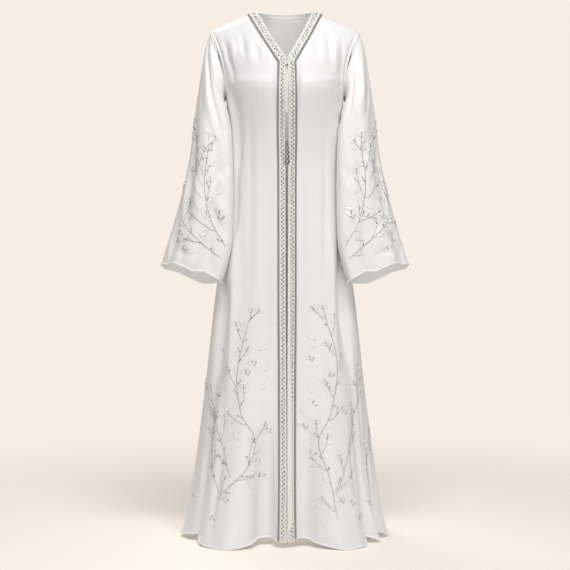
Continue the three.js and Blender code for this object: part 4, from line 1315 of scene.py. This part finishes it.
def closureString():  # crossed loops of thread and beads that hold the two bands together
    settings = {"topZ": -0.360, "lowZ": -0.420, "knots": 5, "top": 0.0032, "low": 0.0060, "radius": 0.0006,
                "aside": 0.0012, "proud": 0.0034, "knot": 0.0046, "bead": 0.0034}
    spots, routes = [], []
    step = (settings["topZ"] - settings["lowZ"]) / settings["knots"]
    for knot in range(settings["knots"]):
        share = knot / (settings["knots"] - 1)
        half = mix(settings["top"], settings["low"], share)
        middleZ = settings["topZ"] - (knot + 0.5) * step
        x, z = form["openingX"] + settings["aside"], middleZ
        y = float(bodyForm(acrossOf(x, z), np.array(z), -1)[1]) - settings["proud"]
        turn = np.linspace(0, 2 * math.pi, 25)[:-1]
        for lean in (-1, 1):
            figure = np.column_stack([
                x + half * np.sin(turn) * 0.95 + lean * 0.0004,
                y - 0.0007 * np.cos(turn * 2 + lean),
                z + lean * step * 0.52 * np.sin(2 * turn + 0.4),
            ])
            routes.append(figure)
        knotSize = settings["knot"] * mix(0.75, 1.1, share)
        beadSize = settings["bead"] * mix(0.8, 1.15, share)
        betweenSize = settings["bead"] * 0.8
        for side in (-1, 1):
            spots.append(("knots", x + side * half * 0.76, y - 0.0008, z, knotSize))
            spots.append(("pearls", x + side * half * 0.7, y - 0.0010, z + step * 0.5, betweenSize))
        spots.append(("pearls", x, y - 0.0016, z - step * 0.05, beadSize))
    strings = threads(routes, settings["radius"], closed=True)
    for kind, finish in (("knots", beadMetal), ("pearls", pearlAndGlintFinish)):
        beads = []
        for x, y, z, size in (spot[1:] for spot in spots if spot[0] == kind):
            deselectAll()
            bpy.ops.mesh.primitive_uv_sphere_add(segments=10, ring_count=6, radius=size / 2,
                                                 location=(x, y, z))
            bpy.ops.object.transform_apply(location=True, rotation=True, scale=True)
            smooth(bpy.context.object)
            beads.append(bpy.context.object)
        finished(joined(beads), f"closure_{kind}", "silver_thread", finish)
    return finished(strings, "closure_threads", "silver_thread", darkThread, "closure_knots")


def neckHook():  # a bent wire hook in its eye, at the foot of the V
    x, z = form["openingX"], -0.166
    y = float(bodyForm(acrossOf(x, z), np.array(z), -1)[1]) - 0.0022
    turn = np.linspace(-0.6, math.pi + 0.6, 16)
    eye = np.column_stack([x + 0.0032 * np.cos(turn), np.full(16, y), z + 0.0004 + 0.0024 * np.sin(turn)])
    leg = [(0.0008, 0, -0.0028), (0.0008, -0.0006, 0.0014), (0.0005, -0.0014, 0.0030)]  # right, back and up
    bent = [(x - right, y + back, z + up) for right, back, up in leg]
    bent += [(x + right, y + back, z + up) for right, back, up in reversed(leg)]
    wire = threads([eye, bent], 0.0006, sides=2)
    return finished(wire, "hook_and_eye", "silver_thread", beadMetal, "neck_hook")


def neckLoop():  # the fine cord sewn inside the back of the neck
    settings = {"half": 0.050, "down": 0.0062, "inward": 0.0026, "radius": 0.0011}
    x = np.linspace(-settings["half"], settings["half"], 30)
    sag = 0.0006 * (1 - (x / settings["half"]) ** 2)
    neck = ribbons["neck"]
    line = neck.lay(neck.long / 2 + x, settings["down"] + sag, np.full(len(x), -settings["inward"]))
    return finished(threads([line], settings["radius"]), "neck_loop", "satin", whiteThread)


plainFacing()
plainUnderlap()
neckLoop()
closureString()
neckHook()
print("closure made")


class BodyCloth:  # what the embroidery is sewn on: s is metres round it and t metres up
    def __init__(self, facing):
        self.facing = facing

    def flat(self, x, z):
        return float(acrossOf(x, z) * quarterRound(z, self.facing)), z

    def clear(self, s, t):  # off the bands and the side seams
        beside = self.facing > 0 or abs(s - form["openingX"]) > form["bandWidth"] + 0.012
        return beside and abs(s) < 0.96 * quarterRound(t, self.facing)

    def lay(self, s, t, high):
        s, t, high = (np.array(a) for a in np.broadcast_arrays(s, t, high))
        across = np.clip(s / quarterRound(t, self.facing), -mostAcross, mostAcross)
        point, outward = bodyCloth(across, t, self.facing)
        return point + outward * high[..., None]


class SleeveCloth:
    def __init__(self, side, behind):
        self.side, self.behind = side, behind

    def flat(self, x, z):
        down, turn = sleevePlace(self.side, x, z, self.behind)
        return float(turn * roundOf(down)), -down * sleeveLong

    def clear(self, s, t):
        return -t < sleeveLong - 0.030

    def lay(self, s, t, high):
        s, t, high = (np.array(a) for a in np.broadcast_arrays(s, t, high))
        down = np.clip(-t / sleeveLong, 0, 1)
        point, outward = sleeveCloth(self.side, down, s / roundOf(down))
        return point + outward * high[..., None]


embroidery = {
    "step": 0.004, "stem": 0.00072, "twig": 0.00055, "outline": 0.00028,
    "leafGap": (0.022, 0.036), "leafLong": (0.014, 0.024), "leafWide": 0.27, "bud": (0.0085, 0.0028, 0.0020),
    "twigGap": (0.040, 0.066), "twigLong": (0.034, 0.064), "twigLean": (0.5, 0.85), "twigBend": 0.035,
    "tipLeaf": (0.012, 0.018), "high": 0.0006, "leafHigh": 0.0008, "outlineHigh": 0.0005,
    # the last two sizes are white beads set where the embroidery sparkles: partly beads, partly painted
    # glints
    "bead": (0, 0.0026, 0.0026, 0.0024), "glintBead": (0, 0.0024, 0.0024, 0.0022),
    "smallGlintBead": (0, 0.0020, 0.0020, 0.0020),
}
# x and z in millimetres: a stem runs from its tip to its foot, and a leaf has the way it points as well
leftFront = {
    "stems": [
        [(-86, -805), (-118, -950), (-108, -1055), (-75, -1130), (-92, -1200), (-162, -1280)],
        [(-208, -990), (-168, -1100), (-126, -1222)],
        [(-178, -1070), (-186, -1160), (-160, -1260)],
    ],
    "buds": [(-175, -1325), (-240, -1295), (-45, -1110), (-70, -1185), (-60, -1225), (-172, -1020),
             (-175, -910), (-185, -1110), (-96, -960), (-140, -1275), (-196, -1075), (-82, -935)],
    "leaves": [(-104, -840, 2.3), (-68, -905, 0.2), (-90, -1235, -0.9), (-70, -1275, -1.4),
               (-100, -1290, -2.2), (-60, -1010, 1.2), (-136, -1060, 2.6), (-36, -1000, 1.9),
               (-52, -960, 1.0), (-110, -1130, 2.1)],
}
rightFront = {
    "stems": [
        [(98, -795), (130, -945), (112, -1060), (84, -1135), (106, -1220), (122, -1325)],
        [(198, -980), (164, -1130), (118, -1265)],
        [(240, -1100), (214, -1205), (222, -1262)],
    ],
    "buds": [(65, -925), (50, -1100), (65, -1165), (155, -1285), (130, -1275), (175, -1325), (70, -1040),
             (200, -1150), (180, -995), (112, -965), (146, -1062), (214, -1300), (98, -985)],
    "leaves": [(126, -838, 0.9), (140, -866, 0.7), (82, -895, 2.9), (78, -878, 2.6), (106, -1010, 2.2),
               (44, -930, -0.8), (58, -1000, -0.9), (40, -1060, -1.0), (62, -1130, -1.1), (146, -1010, 0.9),
               (150, -1240, -0.7), (70, -1290, -1.9), (92, -1330, -1.2), (58, -880, -1.0),
               (160, -1050, 0.8)],
}
sleeveBranch = {  # for the left sleeve, and turned over for the right one
    "stems": [
        [(-266, -476), (-272, -555), (-226, -618), (-169, -668)],
        [(-198, -345), (-208, -500), (-158, -638)],
        [(-242, -318), (-232, -400), (-236, -468), (-214, -514)],
    ],
    "buds": [(-249, -430), (-276, -600), (-204, -555), (-255, -515), (-206, -420), (-200, -380),
             (-284, -618), (-170, -555), (-264, -640), (-236, -340)],
    "leaves": [(-190, -520, 1.1), (-180, -500, 0.5), (-176, -540, 2.8), (-224, -540, 2.2),
               (-232, -555, 2.9), (-240, -440, 1.9), (-196, -600, -2.4), (-250, -545, 1.5),
               (-214, -440, 1.3), (-186, -420, 1.0), (-264, -535, 1.4), (-205, -620, 2.6)],
}
sideBranch = {  # the back, beside each side seam
    "stems": [
        [(-196, -960), (-186, -1020), (-170, -1085), (-158, -1150), (-166, -1215), (-184, -1270)],
        [(-110, -1010), (-118, -1070), (-136, -1120), (-152, -1170), (-164, -1210)],
    ],
    "buds": [(-170, -975), (-214, -1040), (-95, -1050), (-120, -1180), (-205, -1300), (-140, -1300),
             (-218, -1130)],
    "leaves": [(-150, -1060, 1.9), (-186, -1090, 0.7), (-130, -1150, 2.2), (-182, -1190, 0.6),
               (-150, -1270, -2.0), (-196, -1250, -0.7), (-104, -1140, 2.5)],
}


def softRoute(stops, step):  # even places along a smooth line through the stops
    stops = np.array(stops, float)
    ends = np.vstack([2 * stops[0] - stops[1], stops, 2 * stops[-1] - stops[-2]])
    line = []
    for k in range(len(stops) - 1):
        a, b, c, d = ends[k:k + 4]
        t = np.linspace(0, 1, 24, endpoint=False)[:, None]
        square, cube = 2 * a - 5 * b + 4 * c - d, 3 * b - 3 * c + d - a
        line.append(0.5 * (2 * b + (c - a) * t + square * t**2 + cube * t**3))
    line = np.vstack([*line, stops[-1:]])
    far = np.concatenate([[0], np.cumsum(np.linalg.norm(np.diff(line, axis=0), axis=1))])
    wanted = np.linspace(0, far[-1], max(3, int(far[-1] / step)))
    return np.column_stack([np.interp(wanted, far, line[:, k]) for k in range(2)])


def headOf(line, k):  # which way a stem grows at a place on it
    return math.atan2(line[k - 1][1] - line[k + 1][1], line[k - 1][0] - line[k + 1][0])


def sideTwigs(surface, line, chance):  # from each twig's tip to its foot on the stem
    twigs = []
    step = embroidery["step"]
    far, side = chance.uniform(0.024, 0.040), chance.choice((-1, 1))
    while far < (len(line) - 4) * step:
        k = int(far / step)
        turn = headOf(line, k) + side * chance.uniform(*embroidery["twigLean"])
        twig = [line[k]]
        for _ in range(int(chance.uniform(*embroidery["twigLong"]) / step)):
            s, t = twig[-1][0] + step * math.cos(turn), twig[-1][1] + step * math.sin(turn)
            if not surface.clear(s, t):
                break
            twig.append(np.array([s, t]))
            turn -= side * embroidery["twigBend"] * chance.uniform(0.2, 1.8)
        if len(twig) > 5:
            twigs.append(np.array(twig[::-1]))
        far += chance.uniform(*embroidery["twigGap"])
        side = -side
    return twigs


def branchWork(name, surface, plan, flip=1, wander=0.0):
    chance = random.Random(name)
    step, high = embroidery["step"], embroidery["high"]
    leaves, buds, dots, glintBeads, outlines = [], [], [], [], []
    flowing = {"stems": [], "twigs": []}

    def flatStops(stops):
        return [surface.flat(flip * x / 1000 + chance.uniform(-wander, wander), z / 1000) for x, z in stops]

    def addLeaf(s, t, turn, long):
        wide = long * embroidery["leafWide"] * chance.uniform(0.85, 1.15)
        leaves.append((s, t, turn, long, wide, embroidery["leafHigh"]))
        along = np.linspace(0, 2 * math.pi, 17)[:-1]
        x = (0.5 - 0.5 * np.cos(along)) * long
        y = 0.5 * wide * np.sin(along) * (0.35 + 0.65 * np.sin(along) ** 2) ** 0.5
        outlines.append(surface.lay(s + x * math.cos(turn) - y * math.sin(turn),
                                    t + x * math.sin(turn) + y * math.cos(turn), embroidery["outlineHigh"]))

    def addBead(beads, s, t, turn, far, size="bead"):
        beads.append((s + far * math.cos(turn), t + far * math.sin(turn), *embroidery[size]))

    def addBud(s, t, turn):
        budLong, budWide, budHigh = embroidery["bud"]
        size = chance.uniform(0.8, 1.15)
        buds.append((s, t, turn, budLong * size, budWide * size, budHigh))
        if chance.random() < 0.5:
            addBead(dots, s, t, turn, -0.003)
        # a white bead beside each bud, partly a painted glint
        addBead(glintBeads, s, t, turn + 0.5, 0.008)

    def dress(line):  # leaves, stalked buds and beads take turns along a stem or a twig
        tip = math.atan2(line[0][1] - line[2][1], line[0][0] - line[2][0])
        addBud(*line[0], tip)
        for lean in (-0.75, 0.75):
            addLeaf(*line[1], tip + lean, chance.uniform(*embroidery["tipLeaf"]))
        far, side = chance.uniform(0.016, 0.026), chance.choice((-1, 1))
        while far < len(line) * step - 0.012:
            k = int(far / step)
            s, t = line[k]
            turn = headOf(line, k) + side * chance.uniform(0.5, 0.95)
            pick = chance.random()
            if pick < 0.62:
                addLeaf(s, t, turn, chance.uniform(*embroidery["leafLong"]))
            elif pick < 0.86:
                stalk = chance.uniform(0.006, 0.011)
                endS, endT = s + stalk * math.cos(turn), t + stalk * math.sin(turn)
                flowing["twigs"].append(surface.lay(np.linspace(s, endS, 4), np.linspace(t, endT, 4), high))
                addBud(endS, endT, turn)
            else:
                addBead(dots, s, t, turn, 0.005)
                addBead(dots, s, t, turn, 0.0085)
            beside = chance.uniform(-0.004, 0.004), chance.uniform(-0.004, 0.004)
            # a white bead beside each leaf and bud, partly a painted glint
            glintBeads.append((s + beside[0], t + beside[1], *embroidery["glintBead"]))
            far += chance.uniform(*embroidery["leafGap"])
            side = -side

    lines = {"stems": [softRoute(flatStops(stops), step) for stops in plan["stems"]], "twigs": []}
    for stem in lines["stems"]:
        lines["twigs"] += sideTwigs(surface, stem, chance)
    for kind in ("stems", "twigs"):
        for line in lines[kind]:
            flowing[kind].append(surface.lay(line[:, 0], line[:, 1], high))
            dress(line)
    for x, z in plan["buds"]:
        s, t = surface.flat(flip * x / 1000, z / 1000)
        turn = chance.uniform(1.0, 2.1)
        addBud(s, t, turn)
        addBud(s + 0.006 * flip, t - 0.004, turn + flip * chance.uniform(-0.9, -0.6))
        addLeaf(s, t - 0.003, turn + flip * chance.uniform(0.7, 1.2), chance.uniform(0.012, 0.02))
        # and a white bead above it, partly a painted glint
        glintBeads.append((s + 0.005, t + 0.009, *embroidery["smallGlintBead"]))
    for x, z, turn in plan["leaves"]:
        s, t = surface.flat(flip * x / 1000, z / 1000)
        addLeaf(s, t, turn if flip > 0 else math.pi - turn, chance.uniform(0.018, 0.028))
    stems = joined([threads(flowing["stems"], embroidery["stem"], taper=0.45),
                    threads(flowing["twigs"], embroidery["twig"], taper=0.4)])
    finished(stems, f"{name}_stems", "silver_thread", stemThread)
    around = threads(outlines, embroidery["outline"], sides=0, closed=True)
    finished(around, f"{name}_outlines", "silver_thread", outlineThread)
    finished(sewOn(surface, leaf, leaves), f"{name}_leaves", "satin", whiteThread)
    finished(sewOn(surface, leaf, buds), f"{name}_buds", "silver_thread", budThread)
    finished(sewOn(surface, bead, dots), f"{name}_beads", "silver_thread", beadMetal)
    # the white beads set for sparkle: partly beads, partly painted glints
    finished(sewOn(surface, bead, glintBeads), f"{name}_glint_beads", "silver_thread", pearlAndGlintFinish)


branchWork("left_front", BodyCloth(-1), leftFront)
branchWork("right_front", BodyCloth(-1), rightFront)
branchWork("left_back", BodyCloth(1), sideBranch)
branchWork("right_back", BodyCloth(1), sideBranch, flip=-1, wander=0.004)
branchWork("left_sleeve", SleeveCloth(-1, False), sleeveBranch)
branchWork("right_sleeve", SleeveCloth(1, False), sleeveBranch, flip=-1, wander=0.004)
branchWork("left_sleeve_back", SleeveCloth(-1, True), sleeveBranch, wander=0.004)
branchWork("right_sleeve_back", SleeveCloth(1, True), sleeveBranch, flip=-1, wander=0.004)
print("embroidery made")

viewSettings = {"place": (0.0005, -3.3, -0.737), "lens": 77.2}
bpy.ops.object.camera_add(location=viewSettings["place"], rotation=(math.pi / 2, 0, 0))
camera = bpy.context.object
camera.data.lens = viewSettings["lens"]
camera.data.sensor_width = 36
bpy.context.scene.camera = camera
bpy.context.scene.view_settings.view_transform = "Standard"

cream = (0.925, 0.857, 0.779)


def softLight(name, place, towards, size, power, colour):
    bpy.ops.object.light_add(type="AREA", location=place)
    light = bpy.context.object
    light.name = name
    light.data.shape = "RECTANGLE"
    light.data.size, light.data.size_y = size
    light.data.energy = power
    light.data.color = colour
    x, y, z = np.array(towards) - np.array(place)
    light.rotation_euler = (math.atan2(math.hypot(x, y), -z), 0, math.atan2(y, x) - math.pi / 2)
    return light


softLight("key", (0.25, -1.8, 2.3), (0.0, 0.0, -0.3), (1.7, 1.0), 76, (1.0, 0.99, 0.985))
softLight("low", (0.0, -3.1, -1.3), (0, 0, -1.3), (2.0, 1.0), 14, (1.0, 0.99, 0.99))
softLight("right", (1.5, -2.7, 0.6), (0.1, 0, -0.6), (1.0, 1.4), 6, (1.0, 0.99, 0.98))
softLight("behind", (-1.1, 1.9, 1.7), (0, 0, -0.5), (1.6, 1.0), 27, (1.0, 0.98, 0.95))
for name, place, towards, size, power in (  # what comes through the cloth into its hollows
    ("neck_glow", (0.0, -0.01, -0.06), (0.0, 0.09, -0.05), (0.1, 0.04), 0.045),
    ("skirt_glow", (0.0, 0.0, -0.8), (0.0, 0.1, -0.8), (0.12, 0.9), 0.06),
    ("hem_glow", (0.0, -0.05, -1.2), (0.0, 0.16, -1.4), (0.2, 0.05), 0.2),
    ("left_cuff_glow", (-0.232, -0.09, -0.62), (-0.232, -0.02, -0.72), (0.05, 0.03), 0.02),
    ("right_cuff_glow", (0.232, -0.09, -0.62), (0.232, -0.02, -0.72), (0.05, 0.03), 0.02),
):
    glow = softLight(name, place, towards, size, power, (1.0, 0.96, 0.9))
    glow.visible_camera = False

studio = Finish(bpy.data.worlds.new("studio"))
bpy.context.scene.world = studio.owner
background = studio.tree.nodes["Background"]
studio.feed(background.inputs["Color"], (0.97, 0.95, 0.93))
studio.feed(background.inputs["Strength"], 0.34)
seen = studio.node("ShaderNodeBackground", {}, {"Color": cream})
cameraRay = studio.node("ShaderNodeLightPath").outputs["Is Camera Ray"]
shown = studio.node("ShaderNodeMixShader", {}, {0: cameraRay, 1: background.outputs[0], 2: seen.outputs[0]})
studio.feed(studio.tree.nodes["World Output"].inputs["Surface"], shown.outputs[0])

floorSettings = {
    "radius": 2.6, "below": 0.001, "near": (0.98, 0.92, 0.85), "far": (0.93, 0.865, 0.79),
    "paintedShadeSpan": (0.35, 1.1), "fades": (0.7, 2.3), "roughness": 0.85, "glow": (0.98, 0.9, 0.82),
    "glowStrength": 0.09,
}
bpy.ops.mesh.primitive_circle_add(vertices=96, radius=floorSettings["radius"], fill_type="NGON",
                                  location=(0, 0, cadBox[0][2] - floorSettings["below"]))
floor = bpy.context.object
floor.name = "floor"
floorFinish = Finish(bpy.data.materials.new("floor"))
flatPlace = floorFinish.places((1, 1, 0))
away = floorFinish.node("ShaderNodeVectorMath", {"operation": "LENGTH"}, {0: flatPlace}).outputs[1]
# over this span the floor is painted darker from near to far: painted shade for the dimmer light further back
turned = floorFinish.between(away, *floorSettings["paintedShadeSpan"])
floorFinish.done(
    baseColor=floorFinish.blend(turned, floorSettings["near"], floorSettings["far"]),
    roughness=floorSettings["roughness"],
    # the floor's faint glow is painted light that lifts the shadows on it
    emissionColor=floorSettings["glow"],
    emissionStrength=floorSettings["glowStrength"],
)
clear = floorFinish.node("ShaderNodeBsdfTransparent").outputs[0]
faded = floorFinish.between(away, *floorSettings["fades"])
fading = floorFinish.node("ShaderNodeMixShader", {}, {0: faded, 1: floorFinish.shader.outputs[0], 2: clear})
floorFinish.feed(floorFinish.tree.nodes["Material Output"].inputs["Surface"], fading.outputs[0])
floor.data.materials.append(floorFinish.owner)
print("stage made")
